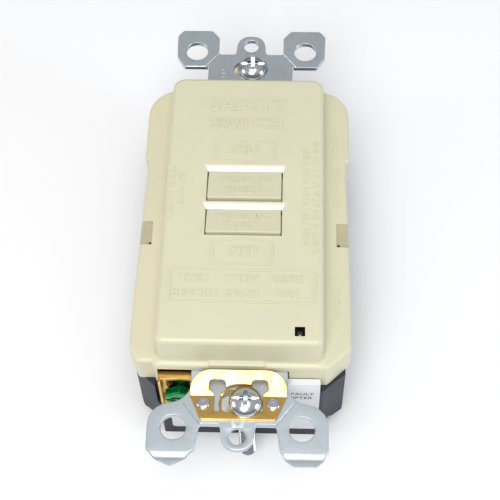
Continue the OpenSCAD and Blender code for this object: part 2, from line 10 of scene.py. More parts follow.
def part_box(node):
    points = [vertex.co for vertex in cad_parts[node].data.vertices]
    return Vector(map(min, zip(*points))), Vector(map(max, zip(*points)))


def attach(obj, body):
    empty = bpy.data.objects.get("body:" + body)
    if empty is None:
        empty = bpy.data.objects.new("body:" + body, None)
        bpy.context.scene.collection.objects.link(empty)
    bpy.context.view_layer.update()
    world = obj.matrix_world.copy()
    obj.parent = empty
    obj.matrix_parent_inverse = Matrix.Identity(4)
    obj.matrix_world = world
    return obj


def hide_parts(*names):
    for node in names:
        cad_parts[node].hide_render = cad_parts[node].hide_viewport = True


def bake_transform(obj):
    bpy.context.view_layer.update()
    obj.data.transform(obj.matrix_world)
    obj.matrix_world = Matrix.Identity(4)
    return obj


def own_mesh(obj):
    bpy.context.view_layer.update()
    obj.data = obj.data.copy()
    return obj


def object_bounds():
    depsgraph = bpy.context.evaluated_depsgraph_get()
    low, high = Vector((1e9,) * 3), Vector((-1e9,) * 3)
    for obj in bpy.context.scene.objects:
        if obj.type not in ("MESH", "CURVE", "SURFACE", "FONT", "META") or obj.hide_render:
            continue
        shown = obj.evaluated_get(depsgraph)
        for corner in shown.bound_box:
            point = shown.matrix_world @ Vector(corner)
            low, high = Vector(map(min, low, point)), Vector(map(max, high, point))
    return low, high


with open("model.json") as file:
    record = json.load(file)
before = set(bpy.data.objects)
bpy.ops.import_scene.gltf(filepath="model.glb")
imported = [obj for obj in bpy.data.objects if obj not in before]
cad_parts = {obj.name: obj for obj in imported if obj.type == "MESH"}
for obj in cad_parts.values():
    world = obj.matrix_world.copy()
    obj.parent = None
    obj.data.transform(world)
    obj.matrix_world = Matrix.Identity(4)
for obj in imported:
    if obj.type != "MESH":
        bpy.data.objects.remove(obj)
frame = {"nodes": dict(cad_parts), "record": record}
cadLow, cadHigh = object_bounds()
nodes = frame["nodes"]
mm = 0.001  # sizes below are in millimetres, objects in metres
print("frame loaded:", len(nodes), "nodes")


def nodeBox(name):
    low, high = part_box(name)
    return low / mm, high / mm


# outlines, as lists of (x, y, corner radius) or as functions that give the loop at an inset

def rectangle(left, low, right, high, radius):
    return [(left, low, radius), (right, low, radius), (right, high, radius), (left, high, radius)]


def mirrored(corners):
    # one half of an outline, with its twin on the other side
    return corners + [(-x, *rest) for x, *rest in reversed(corners)]


def quarterTurn(steps):
    return [math.pi / 2 * k / steps for k in range(steps + 1)]


def rounded(corners, steps=5):
    # the solid is on the loop's left, and inset moves the loop into the solid
    def loop(inset):
        points = []
        for i, (x, y, radius) in enumerate(corners):
            here = Vector((x, y))
            before = Vector(corners[i - 1][:2])
            after = Vector(corners[(i + 1) % len(corners)][:2])
            come, go = (here - before).normalized(), (after - here).normalized()
            comeSide, goSide = Vector((-come.y, come.x)), Vector((-go.y, go.x))
            corner = here + (comeSide + goSide) * (inset / (1 + comeSide.dot(goSide)))
            turn = 1 if come.cross(go) > 0 else -1
            radius = max(radius - turn * inset, 0.03)
            angle = math.acos(max(-1, min(1, come.dot(go))))
            start = corner - come * radius * math.tan(angle / 2)
            centre = start + comeSide * turn * radius
            for k in range(steps + 1):
                points.append(centre + Matrix.Rotation(turn * angle * k / steps, 2) @ (start - centre))
        return points
    return loop


def roundHole(x, y, radius, steps=40):
    def loop(inset):
        angles = [-math.tau * k / steps for k in range(steps)]
        r = radius + inset
        return [Vector((x + r * math.cos(a), y + r * math.sin(a))) for a in angles]
    return loop


def slotHole(left, right, y, radius, steps=16):
    def loop(inset):
        r = radius + inset
        places = [(x, turn - math.pi * k / steps) for x, turn in ((right, math.pi / 2), (left, -math.pi / 2))
                  for k in range(steps + 1)]
        return [Vector((x + r * math.cos(a), y + r * math.sin(a))) for x, a in places]
    return loop


def edgeProfile(low, high, edge, steps=3, lowEdge=None):
    # (inset, height) steps up a wall whose edges are rounded
    lowEdge = edge if lowEdge is None else lowEdge
    turns = quarterTurn(steps)
    rise = [(lowEdge * (1 - math.sin(a)), low + lowEdge * (1 - math.cos(a))) for a in turns]
    return rise + [(edge * (1 - math.cos(a)), high - edge * (1 - math.sin(a))) for a in turns]


def addWall(bm, loop, profile):
    # one closed loop swept up a profile; returns its first and last rings of edges
    rings = [[bm.verts.new((p.x, p.y, z)) for p in loop(inset)] for inset, z in profile]
    for lower, upper in zip(rings, rings[1:]):
        for i in range(len(lower)):
            j = (i + 1) % len(lower)
            bm.faces.new((lower[i], lower[j], upper[j], upper[i]))
    return [[bm.edges.get((ring[i], ring[i - 1])) for i in range(len(ring))] for ring in (rings[0], rings[-1])]


def addSlab(bm, loops, low, high, edge, steps=3, lowEdge=None):
    profile = edgeProfile(low, high, edge, steps, lowEdge)
    ends = [addWall(bm, loop, profile) for loop in loops]
    for side, normal in ((0, (0, 0, -1)), (1, (0, 0, 1))):
        edges = [e for walls in ends for e in walls[side]]
        bmesh.ops.triangle_fill(bm, edges=edges, use_beauty=True, normal=normal)


def addRings(bm, rings):
    # closed rings of equal length joined into a capped solid
    made = [[bm.verts.new(p) for p in ring] for ring in rings]
    for lower, upper in zip(made, made[1:]):
        for i in range(len(lower)):
            j = (i + 1) % len(lower)
            bm.faces.new((lower[i], lower[j], upper[j], upper[i]))
    bm.faces.new(reversed(made[0]))
    bm.faces.new(made[-1])


def addTurned(bm, profile, steps, axis, at):
    # a profile of (radius, height) points, turned about an axis
    start = len(bm.verts)
    rings = []
    for radius, height in profile:
        if radius == 0:
            rings.append([bm.verts.new((0, 0, height))])
        else:
            angles = [math.tau * k / steps for k in range(steps)]
            rings.append([bm.verts.new((radius * math.cos(a), radius * math.sin(a), height)) for a in angles])
    for lower, upper in zip(rings, rings[1:]):
        for i in range(steps):
            j = (i + 1) % steps
            face = [lower[i % len(lower)], lower[j % len(lower)], upper[j % len(upper)], upper[i % len(upper)]]
            bm.faces.new(list(dict.fromkeys(face)))
    bm.verts.ensure_lookup_table()
    placeVerts(bm.verts[start:], axis, at)


def addRod(bm, radius, low, high, steps, axis, at, chamfer=0):
    foot = [(radius - chamfer, low)] if chamfer else []
    addTurned(bm, [(0, low), *foot, (radius, low + chamfer), (radius, high), (0, high)], steps, axis, at)


def placeVerts(verts, axis, at):
    # turns what was drawn along +Z to lie along an axis, then moves it
    angle, around = {"Z": (0, "X"), "X": (1, "Y"), "-X": (-1, "Y"), "-Y": (1, "X"), "Y": (-1, "X")}[axis]
    turn = Matrix.Rotation(angle * math.pi / 2, 3, around)
    for v in verts:
        v.co = turn @ v.co + Vector(at)


def addBlock(bm, low, high):
    low, high = Vector(low), Vector(high)
    size = Matrix.Diagonal((*(high - low), 1))
    bmesh.ops.create_cube(bm, size=1, matrix=Matrix.Translation((low + high) / 2) @ size)


def asMesh(made):
    # a mesh, or the function that builds one
    if not callable(made):
        return made
    bm = bmesh.new()
    made(bm)
    bmesh.ops.remove_doubles(bm, verts=bm.verts, dist=0.002)
    bmesh.ops.recalc_face_normals(bm, faces=bm.faces)
    mesh = bpy.data.meshes.new("part")
    bm.to_mesh(mesh)
    bm.free()
    return mesh


def slabMesh(loops, *heights):
    return asMesh(lambda bm: addSlab(bm, loops, *heights))


def newObject(name, data):
    made = bpy.data.objects.new(name, data)
    bpy.context.scene.collection.objects.link(made)
    return made


def evaluated(thing):
    graph = bpy.context.evaluated_depsgraph_get()
    return bpy.data.meshes.new_from_object(thing.evaluated_get(graph), depsgraph=graph)


def combined(base, *steps):
    # exact booleans, one after another; each step is "cut" or "join" and a shape
    holder = newObject("holder", asMesh(base))
    tools = []
    for kind, shape in steps:
        tools.append(newObject("tool", asMesh(shape)))
        modifier = holder.modifiers.new("cut", "BOOLEAN")
        modifier.operation = {"cut": "DIFFERENCE", "join": "UNION"}[kind]
        modifier.solver = "EXACT"
        modifier.use_self = True  # a tool may be several boxes that overlap
        modifier.object = tools[-1]
    mesh = evaluated(holder)
    for spare in (holder, *tools):
        bpy.data.objects.remove(spare)
    return mesh


def letters(bm, text, size, at, height, spacing, turn=0.0, edge=0.03):
    # raised lettering, centred at a point
    curve = bpy.data.curves.new("letters", "FONT")
    curve.body = text
    curve.size = size
    curve.align_x, curve.align_y = "CENTER", "CENTER"
    curve.space_character = spacing
    curve.extrude = height / 2
    curve.bevel_depth = edge
    curve.bevel_resolution = 1
    curve.resolution_u = 3
    curve.offset = 0.02 * size - edge
    holder = newObject("letters", curve)
    mesh = evaluated(holder)
    mesh.transform(Matrix.Translation(at) @ Matrix.Rotation(turn, 4, "Z"))
    bm.from_mesh(mesh)
    bpy.data.objects.remove(holder)


def addPiece(name, mesh, body, slotName, replaced=(), smooth=35, finish=None, patches=()):
    # patches are (finish, test) pairs; test takes a face's centre in mm and its normal
    mesh = asMesh(mesh)
    mesh.update()
    mesh.shade_smooth()
    mesh.set_sharp_from_angle(angle=math.radians(smooth))
    mesh.materials.clear()
    mesh.materials.append(finishes[finish or slotName])
    for face in mesh.polygons:
        face.material_index = 0
    for k, (patchFinish, test) in enumerate(patches):
        mesh.materials.append(finishes[patchFinish])
        for face in mesh.polygons:
            if test(face.center, face.normal):
                face.material_index = k + 1
    for v in mesh.vertices:
        v.co = v.co * mm
    mesh.update()
    piece = newObject(name, mesh)
    if body:
        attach(piece, body)
    if replaced:
        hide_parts(*replaced)
    weighted = piece.modifiers.new("weighted", "WEIGHTED_NORMAL")
    weighted.keep_sharp = True
    weighted.weight = 85
    return piece


slotOf = {row["node"]: row["material_slot"] for row in frame["record"]["subparts"]}


# surface effects that the finishes share

def newGroup(name, inputs, outputs):
    group = bpy.data.node_groups.new(name, "ShaderNodeTree")
    for label, value in inputs.items():
        group.interface.new_socket(label, in_out="INPUT", socket_type="NodeSocketFloat").default_value = value
    for label in outputs:
        group.interface.new_socket(label, in_out="OUTPUT", socket_type="NodeSocketFloat")
    return group, group.nodes.new("NodeGroupInput"), group.nodes.new("NodeGroupOutput")


def addNode(tree, kind, values=(), **settings):
    node = tree.nodes.new(kind)
    for key, value in settings.items():
        setattr(node, key, value)
    for key, value in dict(values).items():
        if isinstance(value, bpy.types.NodeSocket):
            tree.links.new(value, node.inputs[key])
        else:
            node.inputs[key].default_value = value
    return node


def mathNode(tree, operation, first, second=0.0):
    return addNode(tree, "ShaderNodeMath", {0: first, 1: second}, operation=operation).outputs[0]


def placeInMm(tree):
    place = addNode(tree, "ShaderNodeTexCoord").outputs["Object"]
    return addNode(tree, "ShaderNodeVectorMath", {0: place, "Scale": 1 / mm}, operation="SCALE").outputs[0]


def moldedTone():
    # fine skin of a moulded or cast surface, and slow drift of its tone
    tree, given, result = newGroup("moldedTone", {"Grain": 4.0, "Drift": 0.1}, ("Height", "Tone"))
    inMm = placeInMm(tree)
    fine = addNode(tree, "ShaderNodeTexNoise", {"Vector": inMm, "Scale": given.outputs["Grain"], "Detail": 3.0})
    slow = addNode(tree, "ShaderNodeTexNoise", {"Vector": inMm, "Scale": given.outputs["Drift"], "Detail": 4.0,
                                                "Roughness": 0.6})
    tone = addNode(tree, "ShaderNodeMapRange", {0: slow.outputs[0], 1: 0.3, 2: 0.7})
    tree.links.new(fine.outputs[0], result.inputs["Height"])
    tree.links.new(tone.outputs[0], result.inputs["Tone"])
    return tree


def edgeWear():
    # where a convex edge is rubbed bright: the shading of a rounded edge against the true face
    tree, given, result = newGroup("edgeWear", {"Width": 0.0003, "Breakup": 1.5}, ("Mask",))
    soft = addNode(tree, "ShaderNodeBevel", {"Radius": given.outputs["Width"]}, samples=4)
    flat = addNode(tree, "ShaderNodeNewGeometry").outputs["Normal"]
    match = addNode(tree, "ShaderNodeVectorMath", {0: soft.outputs[0], 1: flat}, operation="DOT_PRODUCT")
    turned = mathNode(tree, "SUBTRACT", 1.0, match.outputs["Value"])
    inMm = placeInMm(tree)
    patches = addNode(tree, "ShaderNodeTexNoise", {"Vector": inMm, "Scale": given.outputs["Breakup"],
                                                   "Detail": 4.0})
    patchy = addNode(tree, "ShaderNodeMapRange", {0: patches.outputs[0], 1: 0.35, 2: 0.6})
    edge = addNode(tree, "ShaderNodeMapRange", {0: turned, 1: 0.02, 2: 0.2})
    tree.links.new(mathNode(tree, "MULTIPLY", edge.outputs[0], patchy.outputs[0]), result.inputs["Mask"])
    return tree


def rolledLines():
    # long fine scratches left by rolling or drawing sheet metal
    tree, given, result = newGroup("rolledLines", {"Along": 0.15, "Across": 6.0}, ("Lines",))
    scale = addNode(tree, "ShaderNodeCombineXYZ", {0: given.outputs["Across"], 1: given.outputs["Along"],
                                                   2: given.outputs["Across"]}).outputs[0]
    drawn = addNode(tree, "ShaderNodeVectorMath", {0: placeInMm(tree), 1: scale}, operation="MULTIPLY").outputs[0]
    noise = addNode(tree, "ShaderNodeTexNoise", {"Vector": drawn, "Scale": 1.0, "Detail": 5.0, "Roughness": 0.65})
    tree.links.new(noise.outputs[0], result.inputs["Lines"])
    return tree


def specks():
    # scattered dust, pits or crystals, as small round dots
    tree, given, result = newGroup("specks", {"Density": 1.2, "Size": 0.12}, ("Mask",))
    inMm = placeInMm(tree)
    cells = addNode(tree, "ShaderNodeTexVoronoi", {"Vector": inMm, "Scale": given.outputs["Density"]})
    near = addNode(tree, "ShaderNodeMapRange", {0: cells.outputs["Distance"], 1: given.outputs["Size"], 2: 0.0})
    tree.links.new(near.outputs[0], result.inputs["Mask"])
    return tree


effects = {"tone": moldedTone(), "wear": edgeWear(), "lines": rolledLines(), "specks": specks()}


def shade(red, green, blue):
    # a display colour, 0 to 255, as the linear colour that shaders take
    steps = [c / 255 for c in (red, green, blue)]
    return tuple(c / 12.92 if c <= 0.04045 else ((c + 0.055) / 1.055) ** 2.4 for c in steps) + (1.0,)


def placeEffect(tree, name, **values):
    return addNode(tree, "ShaderNodeGroup", values, node_tree=effects[name])


def mixColours(tree, factor, first, second):
    node = tree.nodes.new("ShaderNodeMix")
    node.data_type = "RGBA"
    for key, value in (("Factor", factor), ("A", first), ("B", second)):
        socket = next(s for s in node.inputs if s.name == key and s.enabled)
        if isinstance(value, bpy.types.NodeSocket):
            tree.links.new(value, socket)
        else:
            socket.default_value = value
    return next(s for s in node.outputs if s.enabled)


def makeFinish(name, base, drift, roughness, metallic=0.0, spread=0.05, worn=None, wear=0.5, wearWidth=0.3,
               grain=5.0, grainDepth=0.01, toneScale=0.12, lines=0.0, speck=None, speckDensity=1.0,
               speckSize=0.1, **shaderSockets):
    # base and drift are the two ends of the tone; worn tints the edges; lines and grainDepth are heights in mm
    material = bpy.data.materials.new(name)
    material.use_nodes = True
    tree = material.node_tree
    shader = tree.nodes["Principled BSDF"]
    tone = placeEffect(tree, "tone", Grain=grain, Drift=toneScale)
    colour = mixColours(tree, tone.outputs["Tone"], shade(*base), shade(*drift))
    rough = addNode(tree, "ShaderNodeMapRange", {0: tone.outputs["Tone"], 3: roughness - spread,
                                                 4: roughness + spread})
    height = mathNode(tree, "MULTIPLY", tone.outputs["Height"], grainDepth)
    if worn:
        rubbed = placeEffect(tree, "wear", Width=wearWidth * mm)
        share = mathNode(tree, "MULTIPLY", rubbed.outputs["Mask"], wear)
        colour = mixColours(tree, share, colour, shade(*worn))
    if speck:
        dots = placeEffect(tree, "specks", Density=speckDensity, Size=speckSize)
        colour = mixColours(tree, dots.outputs["Mask"], colour, shade(*speck))
    if lines:
        drawn = placeEffect(tree, "lines")
        height = mathNode(tree, "ADD", height, mathNode(tree, "MULTIPLY", drawn.outputs["Lines"], lines))
    bump = addNode(tree, "ShaderNodeBump", {"Height": height, "Distance": mm, "Strength": 1.0})
    shader.inputs["Metallic"].default_value = metallic
    for key, value in shaderSockets.items():
        shader.inputs[key.replace("_", " ")].default_value = value
    tree.links.new(colour, shader.inputs["Base Color"])
    tree.links.new(rough.outputs[0], shader.inputs["Roughness"])
    tree.links.new(bump.outputs[0], shader.inputs["Normal"])
    return material


finishSettings = {
    "ivory_plastic": dict(
        base=(212, 207, 178), drift=(207, 203, 176), roughness=0.36, spread=0.04, grain=3.2,
        grainDepth=0.012, toneScale=0.05, worn=(224, 220, 200), wear=0.3, wearWidth=0.25,
        Subsurface_Weight=0.06, Subsurface_Scale=0.001),
    # lighter and glossier than ivory_plastic, for the well bevels: a painted highlight where they face the lamps
    "painted_highlight_ivory": dict(
        base=(236, 234, 220), drift=(230, 228, 214), roughness=0.2, spread=0.05, grainDepth=0.004,
        toneScale=0.3, Coat_Weight=0.6),
    # darker, rougher ivory for the side pocket floors: painted shade of the recess
    "painted_shade_ivory": dict(
        base=(182, 176, 148), drift=(176, 169, 140), roughness=0.6, grain=3.2, grainDepth=0.01),
    "indicator_gloss": dict(
        base=(30, 30, 32), drift=(22, 22, 24), roughness=0.1, spread=0.02, grainDepth=0.001, Coat_Weight=1.0),
    "label_ink": dict(
        base=(92, 94, 100), drift=(82, 84, 90), roughness=0.6),
    "charcoal_plastic": dict(
        base=(46, 49, 60), drift=(40, 43, 53), roughness=0.5, grain=4.0, Specular_IOR_Level=0.3,
        grainDepth=0.014, worn=(84, 88, 100), wear=0.4, wearWidth=0.25, speck=(70, 74, 86),
        speckDensity=0.5, speckSize=0.05),
    "plated_steel": dict(
        base=(202, 210, 216), drift=(182, 191, 198), roughness=0.4, metallic=0.85, spread=0.08,
        toneScale=0.35, grain=2.5, grainDepth=0.012, lines=0.006, worn=(235, 239, 242), wear=0.9,
        wearWidth=0.35),
    "bright_steel": dict(
        base=(214, 218, 222), drift=(198, 202, 208), roughness=0.2, metallic=1.0, spread=0.05,
        toneScale=0.5, grainDepth=0.004, worn=(245, 245, 245), wearWidth=0.2),
    "clip_brass": dict(
        base=(226, 190, 118), drift=(208, 168, 88), roughness=0.24, metallic=1.0, spread=0.05,
        toneScale=0.3, grainDepth=0.004, lines=0.004, worn=(206, 122, 66), wear=0.9, wearWidth=0.2),
    "green_dyed_steel": dict(
        base=(10, 158, 88), drift=(2, 120, 66), roughness=0.22, metallic=0.75, spread=0.06, toneScale=0.8,
        grainDepth=0.008, worn=(140, 225, 170), wear=0.5, wearWidth=0.3),
    "label_paper": dict(
        base=(226, 227, 229), drift=(218, 219, 222), roughness=0.55, grain=8.0, grainDepth=0.006),
    # near black, so the light pipe reads as the dark window: painted shade
    "clear_plastic": dict(
        base=(20, 20, 22), drift=(12, 12, 14), roughness=0.3, grainDepth=0.002, Specular_IOR_Level=0.25),
    "retainer_fibre": dict(
        base=(226, 218, 198), drift=(208, 198, 174), roughness=0.75, grain=2.0, grainDepth=0.03,
        toneScale=0.6, lines=0.01),
    "black_plastic": dict(
        base=(38, 39, 43), drift=(30, 31, 34), roughness=0.42, grainDepth=0.01, worn=(80, 82, 88), wear=0.4),
    "spring_steel": dict(
        base=(190, 192, 196), drift=(164, 167, 172), roughness=0.25, metallic=1.0, toneScale=0.8,
        grainDepth=0.004),
    "copper_alloy": dict(
        base=(206, 134, 92), drift=(184, 108, 70), roughness=0.3, metallic=1.0, spread=0.08, toneScale=0.4,
        grainDepth=0.006, lines=0.005, worn=(238, 180, 140), wearWidth=0.2),
    "silver_contact": dict(
        base=(232, 232, 230), drift=(212, 210, 204), roughness=0.3, metallic=1.0, toneScale=1.2,
        grainDepth=0.01),
    "magnet_wire": dict(
        base=(190, 98, 48), drift=(164, 76, 34), roughness=0.22, metallic=0.7, toneScale=0.5,
        grainDepth=0.004, Coat_Weight=0.7),
    "natural_nylon": dict(
        base=(226, 222, 208), drift=(214, 208, 190), roughness=0.42, grainDepth=0.012,
        Subsurface_Weight=0.1, Subsurface_Scale=0.001),
    "board_laminate": dict(
        base=(34, 98, 60), drift=(26, 82, 50), roughness=0.3, toneScale=0.3, grain=1.2, grainDepth=0.02,
        speck=(196, 190, 150), speckDensity=0.45, speckSize=0.14, Coat_Weight=0.4),
    "ferrite": dict(
        base=(74, 74, 78), drift=(60, 60, 64), roughness=0.6, grain=3.0, grainDepth=0.03),
    "blue_epoxy": dict(
        base=(38, 78, 150), drift=(30, 64, 128), roughness=0.24, grainDepth=0.02, toneScale=0.3,
        Coat_Weight=0.5),
    "orange_epoxy": dict(
        base=(196, 96, 34), drift=(176, 80, 26), roughness=0.28, grainDepth=0.02, toneScale=0.3,
        Coat_Weight=0.4),
    "tan_ceramic": dict(
        base=(206, 182, 138), drift=(190, 164, 118), roughness=0.5, grainDepth=0.015, speck=(120, 70, 40),
        speckDensity=0.4, speckSize=0.12),
}
finishes = {name: makeFinish(name, **settings) for name, settings in finishSettings.items()}
print("finishes:", len(finishes))


# camera, floor and light
cameraView = {"azimuth": 3.42, "elevation": 59.61, "roll": -2.03, "distance": 259.4, "lens": 88.7,
              "target": (1.27, -6.65, 1.2)}


def makeCamera():
    az, el, roll = (math.radians(cameraView[k]) for k in ("azimuth", "elevation", "roll"))
    back = Vector((math.sin(az) * math.cos(el), -math.cos(az) * math.cos(el), math.sin(el)))
    right = Vector((0, 0, 1)).cross(back).normalized()
    up = back.cross(right)
    across = math.cos(roll) * right + math.sin(roll) * up
    above = math.cos(roll) * up - math.sin(roll) * right
    camera = newObject("camera", bpy.data.cameras.new("camera"))
    camera.data.lens = cameraView["lens"]
    camera.data.sensor_width = 36
    camera.data.clip_start = 0.01
    place = (Vector(cameraView["target"]) + back * cameraView["distance"]) * mm
    camera.matrix_world = Matrix.Translation(place) @ Matrix((across, above, back)).transposed().to_4x4()
    bpy.context.scene.camera = camera


studio = {"floor": 900, "floorColour": shade(246, 246, 247), "sky": 0.5,
          "skyRamp": ((0.02, 0.35), (0.3, 0.5), (0.47, 0.62), (0.5, 0.8), (0.62, 0.95)),
          "tints": {"rightLamp": (0.78, 0.93, 1.0), "leftLamp": (1.0, 0.97, 0.9)},
          "lamps": {  # place, size, power in watts
              "keyLamp": ((-60, -330, 420), 260, 1.2),
              "overLamp": ((20, -110, 520), 300, 1.05),
              "leftLamp": ((-480, -60, 200), 240, 0.45),
              "rightLamp": ((460, -120, 160), 200, 0.6)}}


def makeStage():
    def build(bm):
        bmesh.ops.create_grid(bm, x_segments=8, y_segments=8, size=studio["floor"])
        bmesh.ops.translate(bm, verts=bm.verts, vec=(0, 0, cadLow.z / mm - 0.02))
    mesh = asMesh(build)
    mesh.transform(Matrix.Scale(mm, 4))
    floor = newObject("floor", mesh)
    material = bpy.data.materials.new("floor")
    material.use_nodes = True
    shader = material.node_tree.nodes["Principled BSDF"]
    shader.inputs["Base Color"].default_value = studio["floorColour"]
    shader.inputs["Roughness"].default_value = 0.9
    mesh.materials.append(material)

    world = bpy.data.worlds.new("studio")
    bpy.context.scene.world = world
    world.use_nodes = True
    tree = world.node_tree
    around = addNode(tree, "ShaderNodeTexCoord").outputs["Generated"]
    upward = addNode(tree, "ShaderNodeSeparateXYZ", {0: around})
    ramp = addNode(tree, "ShaderNodeValToRGB", {0: upward.outputs[2]})
    ramp.color_ramp.elements[0].color = (0.9, 0.9, 0.92, 1)
    ramp.color_ramp.elements[1].color = (1, 1, 1, 1)
    for position, level in studio["skyRamp"]:
        ramp.color_ramp.elements.new(position).color = (level, level, level * 1.02, 1)
    tree.links.new(ramp.outputs[0], tree.nodes["Background"].inputs["Color"])
    tree.nodes["Background"].inputs["Strength"].default_value = studio["sky"]

    for name, (place, size, power) in studio["lamps"].items():
        lamp = bpy.data.lights.new(name, "AREA")
        lamp.shape = "DISK"
        lamp.size = size * mm
        lamp.energy = power
        lamp.color = studio["tints"].get(name, (1, 1, 1))
        holder = newObject(name, lamp)
        holder.location = Vector(place) * mm
        holder.rotation_euler = (-Vector(place)).to_track_quat("-Z", "Y").to_euler()
    bpy.context.scene.view_settings.view_transform = "Standard"


makeCamera()
makeStage()
print("stage ready")


# cover: flange, raised face, wells, side pockets, window, and the hollow behind them
cover = {
    "flangeTop": 2.8, "flangeEdge": 0.7, "skirtEdge": 0.25, "wall": 1.5, "deep": -20,
    "faceTop": 9.4, "faceEdge": 0.95, "faceHalf": (16.65, 33.4), "faceCorners": (1.5, 2.6), "faceWall": 1.7,
    "draft": (0.12, 1.0), "foot": 0.8, "footSink": 1.2, "innerGap": (0.25, 0.3),
    "flangeCorners": [(17.6, -34.6, 1.4), (22.3, -30, 1.8), (22.3, -20, 4), (21.6, 10, 4), (21.6, 14.9, 0.5),
                      (22.3, 15.6, 0.5), (22.3, 34.2, 6.8)],
    "nearLeft": [(-22.3, -30.4, 1.6), (-20.6, -33.6, 0.8), (-17.4, -33.6, 0.4), (-16.9, -34.6, 0.5)],
    "ledge": [(-6.3, -34.5, 0.3), (5.3, -34.5, 0.3), (4.9, -33.2, 0.3), (-6.1, -33.2, 0.3)],
    "ledgeDepths": (1.5, 0.5),
    "hollow": [(17, -33.1, 0.5), (20.2, -29.9, 0.5), (20.2, 28.6, 0.5), (16.2, 32.6, 0.5)],
    "wells": ((0.25, 8.15), (-7.98, -1.3)), "wellHalf": 7.95, "wellDrop": 0.8, "wellSlope": 1.2,
    "wellSplay": 0.75, "bevelBack": 0.4,
    "window": (11.85, -29.7, 1.02), "pocket": (19.4, -6.6, -0.85, 0.9), "pocketHole": (19.85, -5.75, 0.34),
    "post": (2.6, -1.7, 2.0, 32), "postHole": (1.3, -9, 1.9, 24), "postPlace": (17.2, 27.6),
    "endGap": (30, 50), "endGaps": ((9.9, 1.35), (15.5, -2)), "screwGap": (-16.5, -9.8, -31, 1.35),
}


def faceRings(steps=5):
    # rings up the raised face: a flare at its foot, drafted walls, and a rounded top edge
    c = cover
    base, top, foot, edge = c["flangeTop"], c["faceTop"], c["foot"], c["faceEdge"]
    near, far = c["faceCorners"]
    levels = [(-foot, base - c["footSink"])]
    levels += [(-foot * (1 - math.sin(a)), base + foot * (1 - math.cos(a)) - 0.02) for a in quarterTurn(steps)]
    levels += [(edge * (1 - math.cos(a)), top - edge * (1 - math.sin(a))) for a in quarterTurn(steps)]
    rings = []
    for inset, z in levels:
        rise = max(0, (z - base) / (top - base))
        x, y = (half - draft * rise for half, draft in zip(c["faceHalf"], c["draft"]))
        loop = rounded([(x, -y, near), (x, y, far), (-x, y, far), (-x, -y, near)], 7)
        rings.append([(p.x, p.y, z) for p in loop(inset)])
    return rings


def addBevelCutter(bm, high):
    # the bevel that rises from a well's far edge to the face, with splayed ends
    c = cover
    over = 1.25  # how far it runs on past the face
    bottom = c["faceTop"] - c["wellDrop"]
    top = bottom + c["wellDrop"] * over
    back = high - c["bevelBack"]
    section = [(0, back, bottom), (0, high, bottom), (c["wellSplay"] * over, high + c["wellSlope"] * over, top),
               (0, back, top)]
    left, right = ([bm.verts.new((side * (c["wellHalf"] + x), y, z)) for x, y, z in section]
                   for side in (-1, 1))
    for i in range(4):
        bm.faces.new((left[i - 1], left[i], right[i], right[i - 1]))
    for end in (left, right):
        bm.faces.new((end[0], end[1], end[3]))
        bm.faces.new((end[1], end[2], end[3]))


def makeCover():
    c = cover
    base, top, deep = c["flangeTop"], c["faceTop"], c["deep"]
    windowX, windowY, windowHalf = c["window"]
    inside, pocketLow, pocketHigh, depth = c["pocket"]
    rim = mirrored(c["flangeCorners"])[:-2] + c["nearLeft"]
    flange = slabMesh([rounded(rim, 8)], nodeBox("front_cover")[0].z, base, c["flangeEdge"], 4, c["skirtEdge"])
    ledge = slabMesh([rounded(c["ledge"])], base - c["ledgeDepths"][0], base + c["ledgeDepths"][1], 0.3)
    hollow = slabMesh([rounded(mirrored(c["hollow"]))], deep, base - c["wall"], 0.3)
    x, y = (half - c["wall"] - gap for half, gap in zip(c["faceHalf"], c["innerGap"]))
    faceHollow = slabMesh([rounded(rectangle(-x, -y, x, y, 1))], deep, top - c["faceWall"], 0.4)

    def face(bm):
        addRings(bm, faceRings())

    def posts(rod):
        radius, low, high, steps = rod
        x, y = c["postPlace"]
        return lambda bm: [addRod(bm, radius, low, high, steps, "Z", (sx * x, sy * y, 0))
                           for sx in (-1, 1) for sy in (-1, 1)]

    def wells(bm):
        for low, high in c["wells"]:
            addBlock(bm, (-c["wellHalf"], low, base - c["wall"]), (c["wellHalf"], high, top + 2))

    def bevels(bm):
        for low, high in c["wells"]:
            addBevelCutter(bm, high)

    def openings(bm):
        addBlock(bm, (windowX - windowHalf, windowY - windowHalf, 0),
                 (windowX + windowHalf, windowY + windowHalf, 20))
        for left, right in ((inside, 30), (-30, -inside)):
            addBlock(bm, (left, pocketLow, base - depth), (right, pocketHigh, 20))
        for end in (-1, 1):
            low, high = sorted(end * reach for reach in c["endGap"])
            for k, (half, gapTop) in enumerate(c["endGaps"]):
                addBlock(bm, (-half, low, deep - 0.1 * k), (half, high, gapTop))
        left, right, far, gapTop = c["screwGap"]
        addBlock(bm, (left, -c["endGap"][1] - 0.1, deep - 0.2), (right, far, gapTop))

    def pinholes(bm):
        x, y, radius = c["pocketHole"]
        for side in (-1, 1):
            addRod(bm, radius, 0.5, 3, 16, "Z", (side * x, y, 0))

    shell = combined(flange, ("cut", hollow), ("join", face), ("join", ledge), ("join", posts(c["post"])),
                     ("cut", faceHollow), ("cut", wells), ("cut", bevels), ("cut", openings),
                     ("cut", posts(c["postHole"])), ("cut", pinholes))
    slope = math.atan2(c["wellDrop"], c["wellSlope"])
    bevelNormal = Vector((0, -math.sin(slope), math.cos(slope)))

    # the well bevels, which get a lighter ivory as a painted highlight
    def isBevel(at, normal):
        return normal.dot(bevelNormal) > 0.995 and abs(at.x) < 9 and -2 < at.y < 10 and at.z < top - 0.1

    # the side pocket floors, which get a darker ivory as painted shade
    def isPocket(at, normal):
        return abs(at.x) > inside and pocketLow < at.y < pocketHigh and abs(at.z - base + depth) < 0.1

    # the window's walls, which get the near-black clear_plastic finish as painted shade of the hole
    def isWindow(at, normal):
        reach = windowHalf + 0.02
        return abs(at.x - windowX) < reach and abs(at.y - windowY) < reach and at.z < top - 0.1

    addPiece("cover", shell, "body", "ivory_plastic", ["front_cover"], 40,
             patches=[("painted_highlight_ivory", isBevel), ("painted_shade_ivory", isPocket), ("clear_plastic", isWindow)])


makeCover()
print("cover ready")


